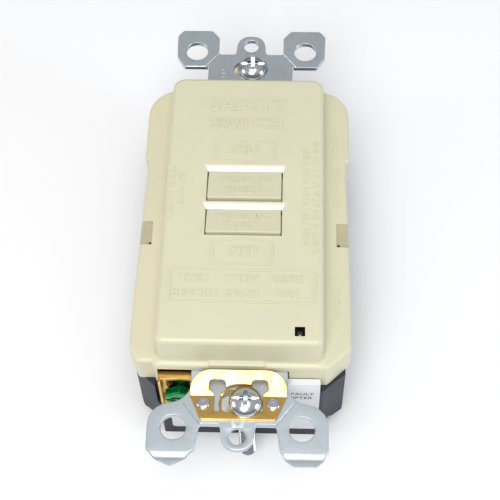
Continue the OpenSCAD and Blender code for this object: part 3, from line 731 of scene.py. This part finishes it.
# raised marks on the face: plain words for what the device does
marks = {
    "rise": 0.22, "sink": 0.08, "frame": 0.42,
    "boxes": [[(-6.4, 10.6, 0.3), (0, 9.6, 0.3), (6.4, 10.6, 0.3), (6.4, 15.4, 0.5), (-6.4, 15.4, 0.5)],
              [(-6.3, -15.2, 0.5), (6.3, -15.2, 0.5), (6.3, -9.6, 0.3), (0, -8.4, 0.3), (-6.3, -9.6, 0.3)],
              [(-14.6, -23.7, 0.6), (15.0, -23.7, 0.6), (15.0, -16.0, 0.6), (-14.6, -16.0, 0.6)]],
    "rows": [("SAFETY", 4.3, 24.9, 1.22), ("SWITCH", 3.9, 19.9, 1.05), ("ON", 3.8, 12.9, 1),
             ("OFF", 3.4, -11.9, 1.05)],
    "boxWords": [("TEST", -9.4, -18.2), ("THEN", 0, -18.2), ("RESET", 9.4, -18.2), ("BEFORE", -9.2, -21.6),
                 ("EACH", 0.2, -21.6), ("USE", 9.4, -21.6)],
    "sideWords": [("PUSH TEST, THEN PUSH RESET", 12.9, 1.9), ("LIGHT IS ON AT A FAULT OR END", 15.0, 1.9),
                  ("PUSH TO CHECK", -15.2, 2.1), ("EACH USE", -13.2, 3.0)],
    "flangeWords": [("INDOOR", 19.6, 19.5), ("GROUNDED", 19.6, 8.0), ("INDOOR", 19.6, -20)],
}


def makeFaceMarks():
    top, quarter = cover["faceTop"], math.pi / 2

    def build(bm):
        for corners in marks["boxes"]:
            outer = rounded(corners, 2)

            def inner(inset):
                return list(reversed(outer(marks["frame"] - inset)))

            addSlab(bm, [outer, inner], top - marks["sink"], top + marks["rise"], 0.07, 2, 0.01)
        for text, size, y, spacing in marks["rows"]:
            letters(bm, text, size, (0.1, y, top), 0.44, spacing)
        for text, x, y in marks["boxWords"]:
            letters(bm, text, 2.5, (x, y, top), 0.34, 1.1)
        for text, x, y in marks["sideWords"]:
            letters(bm, text, 1.62, (x, y, top), 0.3, 1.12, quarter, 0.02)
        for text, x, y in marks["flangeWords"]:
            letters(bm, text, 1.7, (x, y, cover["flangeTop"]), 0.3, 1.2, quarter, 0.02)

    addPiece("face_marks", build, "body", "ivory_plastic", smooth=30)


makeFaceMarks()


# buttons: a sloping key with a flange and a boss under it, and raised words
buttons = {"half": 7.7, "edge": 0.22, "corner": 0.35, "proud": 0.9, "farDrop": 0.3, "longer": 0.33,
           "flangeHalf": 9, "tail": 6.3, "shoulder": 7.5, "boss": (2.6, 3), "stem": (1, -4, 3.2), "bore": (1.2, 0, 6),
           "words": (2.35, 0.3, 1.12), "wordRows": (0.19, -0.21)}


def makeButton(name, body, node, words, hasStem):
    b = buttons
    low, high = nodeBox(node)
    nearY, length = low.y, high.y + b["longer"] - low.y
    middle = (low.y + high.y) / 2
    fall = b["proud"] + b["farDrop"]

    def topAt(y):
        return cover["faceTop"] + b["proud"] - fall * (y - nearY) / length

    def key(bm):
        loop = rounded(rectangle(-b["half"], nearY, b["half"], nearY + length, b["corner"]), 4)
        rings = [[(p.x, p.y, b["tail"]) for p in loop(0)]]
        for a in quarterTurn(4):
            inset, drop = b["edge"] * (1 - math.cos(a)), b["edge"] * (1 - math.sin(a))
            rings.append([(p.x, p.y, topAt(p.y) - drop) for p in loop(inset)])
        addRings(bm, rings)

    def boss(bm):
        addRod(bm, *b["boss"], b["tail"] + 0.3, 40, "Z", (0, middle, 0), 0.2)

    def rod(bm):
        addRod(bm, *b["stem" if hasStem else "bore"], 28, "Z", (0, middle, 0), 0.2 if hasStem else 0)

    def lettering(bm):
        size, relief, spacing = b["words"]
        for text, share in zip(words, b["wordRows"]):
            letters(bm, text, size, (0, share * length, 0), relief, spacing, 0, 0.025)
        tilt = Matrix.Rotation(-math.atan2(fall, length), 3, "X")
        bmesh.ops.rotate(bm, verts=bm.verts, cent=(0, 0, 0), matrix=tilt)
        bmesh.ops.translate(bm, verts=bm.verts, vec=(0, middle, topAt(middle)))

    flange = slabMesh([rounded(rectangle(-b["flangeHalf"], nearY, b["flangeHalf"], high.y, 0.4))],
                      b["tail"] - 0.001, b["shoulder"], 0.15)
    whole = combined(key, ("join", flange), ("join", boss), ("join" if hasStem else "cut", rod))
    addPiece(name, whole, body, "ivory_plastic", [node], 40)
    addPiece(name + "_marks", lettering, body, "ivory_plastic", smooth=30)


makeButton("reset_key", "reset", "reset_button", ("PRESS TO", "RESET"), False)
makeButton("test_key", "test", "test_button", ("PRESS TO", "TEST"), True)
print("buttons ready")


# strap: a plate with rounded edges, holes, score lines and two folded flaps
strap = {
    "edge": 0.28, "crease": 51.7, "foldRadius": 0.6, "foldAngle": 58, "flapTip": (-13.0, -54.0, 0.7),
    "tabHole": (48.41, 1.7), "earHole": (12.55, 46.8, 2.5), "slot": (1.75, 41.67, 2.0),
    "buttonHole": 3.3, "buttonRows": (4.05, -4.8),
    "groove": (8.95, 44.1, -52.6), "grooveSize": (6.4, 0.28, 0.28),
    "bottom": [(3.0, -51.41, 2.9), (3.5, -46, 0.8), (7.5, -46, 0.9), (8.3, -51.4, 0.4), (10.9, -53.6, 0.5),
               (15.4, -53.6, 0.5), (17.7, -51.4, 0.6), (17.75, -42.1, 4.6), (11.2, -41.2, 4.2),
               (9.7, -38.6, 1.0), (9.7, -27, 0.5), (12, -27, 0.3)],
    "top": [(12, 27, 0.3), (9.7, 27, 0.5), (9.7, 42.2, 0.4), (15.3, 42.2, 0.7), (17.1, 45.2, 0.9),
            (17.3, 51.3, 0.9), (16, 53, 0.9), (9.2, 53, 0.9), (7.45, 50.9, 0.9), (7.45, 46, 0.6),
            (3.5, 46, 0.8), (3.05, 51.41, 2.9)],
    # rows of stamped print: (direction, place across, start, end, width, gap, lengths)
    "stamps": [("Y", -6.2, 37.2, 42.6, 0.9, 0.35, (0.7, 0.5, 0.8, 0.6)),
               ("X", -36.4, -5, 5.4, 0.5, 0.4, (0.9, 0.6, 1.1))],
}


def foldDown(bm, start, pivot, radius, angle, outward):
    # folds what lies beyond y = start towards -Z; pivot is the height of the sheet's inner face
    reach = radius * angle
    for k in range(6):
        bmesh.ops.bisect_plane(bm, geom=bm.verts[:] + bm.edges[:] + bm.faces[:], plane_no=(0, 1, 0),
                               plane_co=(0, start + outward * reach * k / 5, 0))
    for v in bm.verts:
        along = outward * (v.co.y - start)
        if along <= 0:
            continue
        turn = min(along, reach) / radius
        depth = v.co.z - (pivot - radius)
        rest = max(0, along - reach)
        v.co.y = start + outward * (depth * math.sin(turn) + rest * math.cos(turn))
        v.co.z = pivot - radius + depth * math.cos(turn) - rest * math.sin(turn)


def addStampRow(bm, base, along, across, place, end, thick, gap, lengths):
    # a row of low bars, each as long as a word
    for length in cycle(lengths):
        if place + length > end:
            return
        (x, y), (halfX, halfY) = (place + length / 2, across), (length / 2, thick / 2)
        if along == "Y":
            x, y, halfX, halfY = y, x, halfY, halfX
        corners = rectangle(x - halfX, y - halfY, x + halfX, y + halfY, min(halfX, halfY) * 0.6)
        addSlab(bm, [rounded(corners, 3)], base - marks["sink"], base + 0.09, 0.05, 2, 0.01)
        place += length + gap


def makeStrap():
    s = strap
    low, high = nodeBox("mounting_strap")
    outline = mirrored(s["bottom"] + s["top"])
    flap = [i for i, (x, y, radius) in enumerate(outline) if x < 0 and y < -53]
    outline[flap[0]:flap[-1] + 1] = [s["flapTip"]]  # the left flap comes to a point
    tabY, tabRadius = s["tabHole"]
    earX, earY, earRadius = s["earHole"]
    slotHalf, slotY, slotRadius = s["slot"]
    loops = [rounded(outline)] + [slotHole(-slotHalf, slotHalf, end * slotY, slotRadius) for end in (1, -1)]
    loops += [roundHole(side * earX, end * earY, earRadius) for side in (-1, 1) for end in (-1, 1)]
    loops += [roundHole(0, end * tabY, tabRadius) for end in (-1, 1)]
    loops += [roundHole(0, y, s["buttonHole"]) for y in s["buttonRows"]]

    def plate(bm):
        addSlab(bm, loops, low.z, high.z, s["edge"])
        foldDown(bm, -s["crease"], low.z, s["foldRadius"], math.radians(s["foldAngle"]), -1)

    def grooves(bm):
        x, y, turn = s["groove"]
        for sx, sy, z in product((-1, 1), (-1, 1), (low.z, high.z)):
            made = bmesh.ops.create_cube(bm, size=1)["verts"]
            bmesh.ops.scale(bm, verts=made, vec=s["grooveSize"])
            bmesh.ops.rotate(bm, verts=made, matrix=Matrix.Rotation(math.pi / 4, 3, "X"))
            bmesh.ops.rotate(bm, verts=made, matrix=Matrix.Rotation(math.radians(sx * sy * turn), 3, "Z"))
            bmesh.ops.translate(bm, verts=made, vec=(sx * x, sy * y, z))

    def stamps(bm):
        for row in s["stamps"]:
            addStampRow(bm, high.z, *row)

    addPiece("strap", combined(plate, ("cut", grooves)), "body", "plated_steel", ["mounting_strap"], 30)
    addPiece("strap_stamps", stamps, "body", "plated_steel", smooth=30)


# grounding clip, with y measured from its fold; its screw gaps are (left, half width, left and right corners)
clip = {
    "fold": -40.3, "thick": 0.5, "foldRadius": 0.9, "foldAngle": 25,
    "outline": [(-7.4, -4.9, 0.6), (7.4, -4.9, 0.6), (9.6, 0.1, 0.5), (9.5, 5.4, 4.1), (-9.5, 5.4, 4.1),
                (-9.6, 0.1, 0.5)],
    "keyhole": [(-0.55, -3.2, 0.45), (-0.55, 0.6, 0.5), (-1.75, 1.5, 0.6), (-1.55, 3.5, 0.8)], "keyholeX": 4.2,
    "screwY": -41.67, "headGap": (-0.4, 3.6, 3.5, 3.5), "shankGap": (-1.3, 1.95, 0.9, 1.9),
    "rivet": (6.85, -41.9),
}


def makeClip():
    c = clip
    base = nodeBox("mounting_strap")[1].z
    seat = base + c["thick"]
    screwX = sum(side.x for side in nodeBox("bottom_mounting_screw")) / 2

    def placed(corners, x=0):
        return [(x + cornerX, c["fold"] + y, radius) for cornerX, y, radius in corners]

    def mirrorHeight(bm):
        for v in bm.verts:
            v.co.z = 2 * base - v.co.z

    def sheet(bm):
        keyholes = [rounded(placed(mirrored(c["keyhole"]), side * c["keyholeX"]), 4) for side in (-1, 1)]
        addSlab(bm, [rounded(placed(c["outline"]), 9), *keyholes], base, seat, 0.12, 2)
        # folded upwards: the same bend, mirrored in the sheet's plane
        mirrorHeight(bm)
        foldDown(bm, c["fold"], base, c["foldRadius"], math.radians(c["foldAngle"]), 1)
        mirrorHeight(bm)

    def gap(left, half, leftCorner, rightCorner, start):
        low, high = c["screwY"] - half, c["screwY"] + half
        corners = [(left - half, low, leftCorner), (screwX + half, low, rightCorner),
                   (screwX + half, high, rightCorner), (left - half, high, leftCorner)]
        return slabMesh([rounded(corners, 10)], start, 20, 0.01)

    whole = combined(sheet, ("cut", gap(*c["headGap"], seat + 0.06)), ("cut", gap(*c["shankGap"], -2)))
    addPiece("ground_clip", whole, "body", "clip_brass", ["grounding_clip"], 35)

    def rivets(bm):
        x, y = c["rivet"]
        dome = [(1.3 * math.cos(a), seat + 0.12 + 0.3 * math.sin(a)) for a in quarterTurn(5)[:4]]
        profile = [(0, -1.35), (1.2, -1.35), (1.35, -1.2), (1.35, -0.95), (0.9, -0.9), (0.9, seat), (1.3, seat),
                   *dome, (0.45, seat + 0.36), (0, seat + 0.28)]
        for side in (-1, 1):
            addTurned(bm, profile, 32, "Z", (side * x, y, 0))

    addPiece("clip_rivets_domed", rivets, "body", "plated_steel", ["clip_rivets"], 50, "bright_steel")


# box screws: a combination head and a helical thread
boxScrew = {"headRadius": 3.3, "headHeight": 2.4, "rim": 0.35, "neck": 1.5, "threadTop": -1.4, "thread": 1.75,
            "root": 1.33, "pitch": 25.4 / 32, "crestShare": 0.42, "fadeLow": 1.2, "fadeHigh": 0.6, "slot": 0.85,
            "slotDepth": 0.95, "cross": 1.05, "crossTip": (0.3, 0.35), "crossReach": 2.0, "crossDepth": 1.9}


def addThread(bm, x, y, low, high, steps=24, rows=6):
    # a sheared grid whose rows climb one pitch a turn, so that the crests follow the helix
    s = boxScrew
    root, depth = s["root"], s["thread"] - s["root"]
    sunk = root - 0.3  # where the thread fades out
    count = round((high - low) / s["pitch"] * rows)
    grid = []
    for j in range(-rows, count + rows + 1):
        crest = 1 - abs((j % rows) / rows - 0.5) / s["crestShare"]
        ring = []
        for k in range(steps):
            z = low + s["pitch"] * (j / rows + k / steps)
            fade = min(1, max(0, (z - low) / s["fadeLow"]), max(0, (high - z) / s["fadeHigh"]))
            radius = sunk + (root + depth * min(1, max(0, crest * 1.15)) - sunk) * fade
            a = math.tau * k / steps
            place = (x + radius * math.cos(a), y + radius * math.sin(a), min(max(z, low), high))
            ring.append(bm.verts.new(place))
        grid.append(ring)
    for j in range(len(grid) - 1 - rows):
        for k in range(steps):
            row, column = (j, k + 1) if k + 1 < steps else (j + rows, 0)
            bm.faces.new((grid[j][k], grid[row][column], grid[row + 1][column], grid[j + 1][k]))
    bmesh.ops.remove_doubles(bm, verts=bm.verts, dist=0.0005)
    bmesh.ops.dissolve_degenerate(bm, edges=bm.edges, dist=0.0005)
    bmesh.ops.delete(bm, geom=[v for v in bm.verts if not v.link_faces], context="VERTS")
    bmesh.ops.holes_fill(bm, edges=[e for e in bm.edges if e.is_boundary], sides=0)


def makeBoxScrew(name, node):
    s = boxScrew
    low, high = nodeBox(node)
    x, y, top = (low.x + high.x) / 2, (low.y + high.y) / 2, high.z
    seat = top - s["headHeight"]
    rim = seat + s["rim"]

    def head(bm):
        start, neck, wide = s["threadTop"], s["neck"], s["headRadius"]
        dome = [(wide * math.cos(a), rim + (top - rim) * math.sin(a)) for a in quarterTurn(14)[:-1]]
        addTurned(bm, [(0, start - 0.1), (neck - 0.1, start - 0.1), (neck, start), (neck, seat),
                       (wide - 0.35, seat), (wide - 0.08, seat + 0.12), *dome, (0, top)], 56, "Z", (x, y, 0))

    def drive(bm):
        addBlock(bm, (x - 5, y - s["slot"] / 2, top - s["slotDepth"]), (x + 5, y + s["slot"] / 2, top + 1))
        half, reach = s["cross"] / 2, s["crossReach"]
        levels = [(top - s["crossDepth"], *s["crossTip"]), (top - 0.4, half * 0.85, reach * 0.9),
                  (top + 1, half, reach * 1.1)]
        for turn in (0, math.pi / 2):
            place = Matrix.Translation((x, y, 0)) @ Matrix.Rotation(turn, 4, "Z")
            addRings(bm, [[place @ Vector((px, py, z)) for px, py, r in rectangle(-out, -wide, out, wide, 0)]
                          for z, wide, out in levels])

    topHalf = combined(head, ("cut", drive))

    def whole(bm):
        addThread(bm, x, y, low.z, s["threadTop"])
        bm.from_mesh(topHalf)

    addPiece(name, whole, name, "bright_steel", [node], 32)


makeStrap()
makeClip()
makeBoxScrew("top_screw", "top_mounting_screw")
makeBoxScrew("bottom_screw", "bottom_mounting_screw")
print("strap, clip and box screws ready")


# four terminal screws: domed, slotted heads and ridged shanks
terminalScrew = {"radius": 3.9, "head": 2.0, "rim": 0.9, "shank": 1.9, "ridge": 0.6, "ridgeDepth": 0.25,
                 "slot": 0.9, "slotDepth": 1.0, "cross": 1.0, "crossReach": 2.1}


def makeTerminalScrew(node):
    t = terminalScrew
    low, high = nodeBox(node)
    side = 1 if low.x > 0 else -1
    inner, outer = sorted((side * low.x, side * high.x))
    y, z = (low.y + high.y) / 2, (low.z + high.z) / 2
    seat, wide, shank = outer - t["head"], t["radius"], t["shank"]
    rim, root = seat + t["rim"], shank - t["ridgeDepth"]

    def body(bm):
        profile = [(0, inner), (shank - 0.4, inner), (root, inner + 0.3)]
        for k in range(int((seat - inner - 0.6) / t["ridge"])):
            start = inner + 0.3 + t["ridge"] * k
            profile += [(shank, start + t["ridge"] / 2), (root, start + t["ridge"])]
        profile += [(root, seat), (wide - 0.2, seat), (wide, seat + 0.2), (wide, rim)]
        profile += [(wide * math.cos(a), rim + (outer - rim) * math.sin(a)) for a in quarterTurn(10)[1:-1]]
        addTurned(bm, profile + [(0, outer)], 56, "X" if side > 0 else "-X", (0, y, z))

    def drive(bm):
        for bottom, top, halfY, halfZ in ((t["slotDepth"], 1, 5, t["slot"] / 2),
                                          (t["slotDepth"] * 0.95, 0.9, t["cross"] / 2, t["crossReach"])):
            near, far = sorted((side * (outer - bottom), side * (outer + top)))
            addBlock(bm, (near, y - halfY, z - halfZ), (far, y + halfY, z + halfZ))

    addPiece(node + "_domed", combined(body, ("cut", drive)), node, slotOf[node], [node], 32)


sideMarks = {"size": 3.0, "relief": 0.36, "sink": 0.12, "height": -21.6,
             "words": (("LINE", 18.5), ("LOAD", -18.5))}


def makeSideMarks():
    # plain words under the terminal windows
    wall = nodeBox("rear_housing")[1].x - sideMarks["sink"]

    def build(bm):
        for side, (text, y) in product((1, -1), sideMarks["words"]):
            start = len(bm.verts)
            letters(bm, text, sideMarks["size"], (0, 0, 0), sideMarks["relief"], 1.15)
            bm.verts.ensure_lookup_table()
            turn = Matrix.Rotation(side * math.pi / 2, 3, "Z") @ Matrix.Rotation(math.pi / 2, 3, "X")
            for v in bm.verts[start:]:
                v.co = turn @ v.co + Vector((side * wall, y, sideMarks["height"]))

    addPiece("side_marks", build, "body", "charcoal_plastic", smooth=30)


def makeIndicator(rise=0.42, gap=0.12):
    # the light pipe's domed end, low in its window
    x, y, half = cover["window"]
    base, radius = nodeBox("light_pipe")[1].z, half - gap

    def build(bm):
        dome = [(radius * math.cos(a), base + rise * math.sin(a)) for a in quarterTurn(7)[:-1]]
        addTurned(bm, [(0, base - 0.3), (radius, base - 0.3), *dome, (0, base + rise)], 40, "Z", (x, y, 0))

    addPiece("indicator_dome", build, "body", "clear_plastic", smooth=60, finish="indicator_gloss")


for node in ("line_hot_screw", "line_neutral_screw", "load_hot_screw", "load_neutral_screw"):
    makeTerminalScrew(node)
makeSideMarks()
makeIndicator()


# test leaf: a thin leaf between the test button's stem and the contact below it; on the real device the stem bends it
# down onto that contact, here it is built straight
testLeaf = {"segments": 36, "foot": 10, "bendFrom": 9.8, "bendTo": 3.8, "thick": 0.3, "edge": 0.04,
            "tips": (0.5, 0.2)}


def makeTestLeaf():
    t = testLeaf
    low, high = nodeBox("test_blade")
    thick, e = t["thick"], t["edge"]

    def leaf(bm):
        rings = []
        for i in range(t["segments"] + 1):
            x = low.x + (high.x - low.x) * i / t["segments"]
            inset = t["tips"][i] if i < 2 else 0  # the free end is rounded
            y0, y1, z0, z1 = low.y + inset, high.y - inset, low.z, low.z + thick
            rings.append([(x, y0, z0 + e), (x, y0 + e, z0), (x, y1 - e, z0), (x, y1, z0 + e), (x, y1, z1 - e),
                          (x, y1 - e, z1), (x, y0 + e, z1), (x, y0, z1 - e)])
        addRings(bm, rings)

    def lug(bm):
        addBlock(bm, (high.x - thick, low.y, low.z), high)
        addBlock(bm, (t["foot"], low.y, high.z - thick), high)

    piece = addPiece("test_leaf", combined(leaf, ("join", lug)), None, "copper_alloy", ["test_blade"], 30)
    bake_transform(piece)


groundScrew = {"axis": (-12.2, -6.5), "across": 6.8, "face": -37.8, "seat": -36.02, "chamfer": 0.45,
               "foot": 0.12, "shank": (1.6, 1.2), "slot": (0.8, 0.85)}


def makeGroundScrew():
    g = groundScrew
    x, z = g["axis"]
    half, height = g["across"] / 2, g["seat"] - g["face"]
    angles = [math.tau * (k + 0.5) / 6 for k in range(6)]
    loop = rounded([(half * math.cos(a), half * math.sin(a), 0.3) for a in angles], 4)

    def head(bm):
        # drawn facing +Z, then turned to face -Y
        levels = [(g["foot"], 0), (0, g["foot"])]
        levels += [(g["chamfer"] * (1 - math.cos(a)), height - g["chamfer"] * 0.8 * (1 - math.sin(a)))
                   for a in quarterTurn(5)]
        addRings(bm, [[(p.x, p.y, level) for p in loop(inset)] for inset, level in levels])
        placeVerts(bm.verts, "-Y", (x, g["seat"], z))

    def dish(bm):
        addTurned(bm, [(0, 0), (1.9, 0), (2.2, 0.9), (0, 0.9)], 40, "-Y", (x, g["face"] + 0.35, z))

    def slot(bm):
        width, depth = g["slot"]
        addBlock(bm, (x - 4, g["face"] - 1, z - width / 2), (x + 4, g["face"] + depth, z + width / 2))

    def shank(bm):
        wide, narrow = g["shank"]
        addTurned(bm, [(0, 0), (wide, 0), (wide, 0.7), (narrow, 0.75), (narrow, 2.8), (narrow - 0.3, 3.0),
                       (0, 3.0)], 32, "Y", (x, g["seat"], z))

    whole = combined(head, ("cut", dish), ("cut", slot), ("join", shank))
    addPiece("hex_ground_screw", whole, "green_screw", "green_dyed_steel", ["ground_screw"], 28)


label = {"wall": -36.0, "thick": 0.1, "top": -1.7, "turnedIn": (2, 16.2, -34.75),
         "outline": [(-15, -24.6, 0.8), (16.2, -24.6, 0.8), (16.2, -1.9, 0.1), (2, -1.9, 0.1), (2, -2.8, 0.1),
                     (-7.8, -2.8, 0.3), (-7.8, -13.3, 0.3), (-15, -13.3, 0.6)],
         "words": [("GROUND FAULT", 1.5, 8.9, -6.2), ("INTERRUPTER", 1.5, 9.6, -8.1), ("LINE", 1.6, 12.7, -17.3),
                   ("LOAD", 1.6, -2.0, -21.5), ("120 V  60 Hz", 1.5, 4.6, -11.2), ("20 A", 1.7, 3.8, -16.0)],
         "bars": (-12.5, -4.5, 6.4), "barLengths": (5.2, 4.1, 3.0), "barTop": -18.95, "barHeight": 0.25,
         "barStep": 0.9}


def makeLabel():
    d = label
    front = d["wall"] - d["thick"]

    def paper(bm):
        addSlab(bm, [rounded(d["outline"], 3)], 0, d["thick"], 0.03, 2)
        placeVerts(bm.verts, "-Y", (0, d["wall"], 0))
        left, right, far = d["turnedIn"]
        corners = [(left, front, 0.05), (right, front, 0.05), (right, far, 0.3), (left, far, 0.3)]
        addSlab(bm, [rounded(corners, 3)], d["top"] - d["thick"], d["top"], 0.03, 2)

    def ink(bm):
        for text, size, x, z in d["words"]:
            letters(bm, text, size, (x, z, 0), 0.03, 1.1, 0, 0.0)
        placeVerts(bm.verts, "-Y", (0, front - 0.005, 0))
        for x in d["bars"]:
            for k, length in enumerate(d["barLengths"]):
                top = d["barTop"] - k * d["barStep"]
                addBlock(bm, (x, front - 0.02, top - d["barHeight"]), (x + length, front - 0.002, top))

    addPiece("label", paper, "body", "label_paper", ["rating_label"], 30)
    addPiece("label_print", ink, "body", "black_plastic", smooth=30, finish="label_ink")


# springs: round wire coiled between its ends, which are its lower and upper limits; on the real device each closes up
# with its button or plunger
springs = {
    "reset_coil": dict(node="reset_spring", radius=2.2, wire=0.25, turns=6, at=(0, 4.05, 0), ends=(-4.92, 2.72),
                       joint="reset_press", keep=0.78, anchor=(0, 0, -0.0052)),
    "test_coil": dict(node="test_spring", radius=1.9, wire=0.2, turns=4, at=(0, -4.8, 0), ends=(0.13, 2.77),
                      joint="test_press", keep=0.48, anchor=(0, 0, -0.0001)),
    "armature_coil": dict(node="armature_spring", radius=1.6, wire=0.2, turns=4, at=(0, 0, -14.6),
                          ends=(-22.97, -19.73), joint="armature_pull", keep=0.57, anchor=(0, -0.0232, 0),
                          axis="Y"),
}


def makeSpring(name, node, radius, wire, turns, at, ends, joint, keep, anchor, axis="Z", steps=28, sides=10):
    low, high = ends

    def build(bm):
        last = turns * steps
        points = [Vector((radius * math.cos(a), radius * math.sin(a), low + (high - low) * i / last))
                  for i, a in ((i, math.tau * i / steps) for i in range(last + 1))]
        rings = []
        for i, p in enumerate(points):
            ahead = (points[min(i + 1, last)] - points[max(i - 1, 0)]).normalized()
            side = ahead.cross(Vector((0, 0, 1))).normalized()
            up = side.cross(ahead)
            rings.append([p + wire * (math.cos(a) * side + math.sin(a) * up)
                          for a in (math.tau * k / sides for k in range(sides))])
        addRings(bm, rings)
        placeVerts(bm.verts, axis, at)

    piece = addPiece(name, build, "body", "spring_steel", [node], 60)
    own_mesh(piece)


coil = {"turns": 21, "bore": 3.05, "wireSteps": 6}


def makeCoil():
    # magnet wire wound between the bobbin's cheeks
    low, high = nodeBox("solenoid_coil")
    turns, steps = coil["turns"], coil["wireSteps"]
    at = ((low.x + high.x) / 2, 0, (low.z + high.z) / 2)
    pitch = (high.y - low.y) / turns

    def wound(bm):
        profile = [(0, low.y)]
        for k in range(turns):
            for j in range(steps + 1 if k == turns - 1 else steps):
                a = math.pi * j / steps
                profile.append((high.x - pitch / 2 * (1 - math.sin(a)), low.y + pitch * (k + (1 - math.cos(a)) / 2)))
        addTurned(bm, profile + [(0, high.y)], 64, "Y", at)

    def bore(bm):
        addRod(bm, coil["bore"], low.y - 1, high.y + 1, 48, "Y", at)

    addPiece("coil", combined(wound, ("cut", bore)), "body", "magnet_wire", ["solenoid_coil"], 50)


makeTestLeaf()
makeGroundScrew()
makeLabel()
for name, settings in springs.items():
    makeSpring(name, **settings)
makeCoil()
print("ground screw, label, springs and coil ready")


# the CAD nodes that stay: their slot's finish, and softened edges
softEdge = {"rear_housing": 0.3, "ground_terminal": 0.1, "circuit_board": 0.06, "top_screw_retainer": 0.08,
            "bottom_screw_retainer": 0.08, "light_pipe": 0.06}
for name, node in nodes.items():
    node.data.materials.clear()
    node.data.materials.append(finishes[slotOf[name]])
    if node.hide_render:
        continue
    for face in node.data.polygons:
        face.use_smooth = True
    node.modifiers.new("weld", "WELD").merge_threshold = 0.000001
    bevel = node.modifiers.new("bevel", "BEVEL")
    bevel.width = softEdge.get(name, 0.12) * mm
    bevel.segments = 3
    bevel.limit_method = "ANGLE"
    bevel.angle_limit = math.radians(32)
    bevel.harden_normals = False
    node.modifiers.new("weighted", "WEIGHTED_NORMAL").keep_sharp = True
print("carried-over nodes finished")
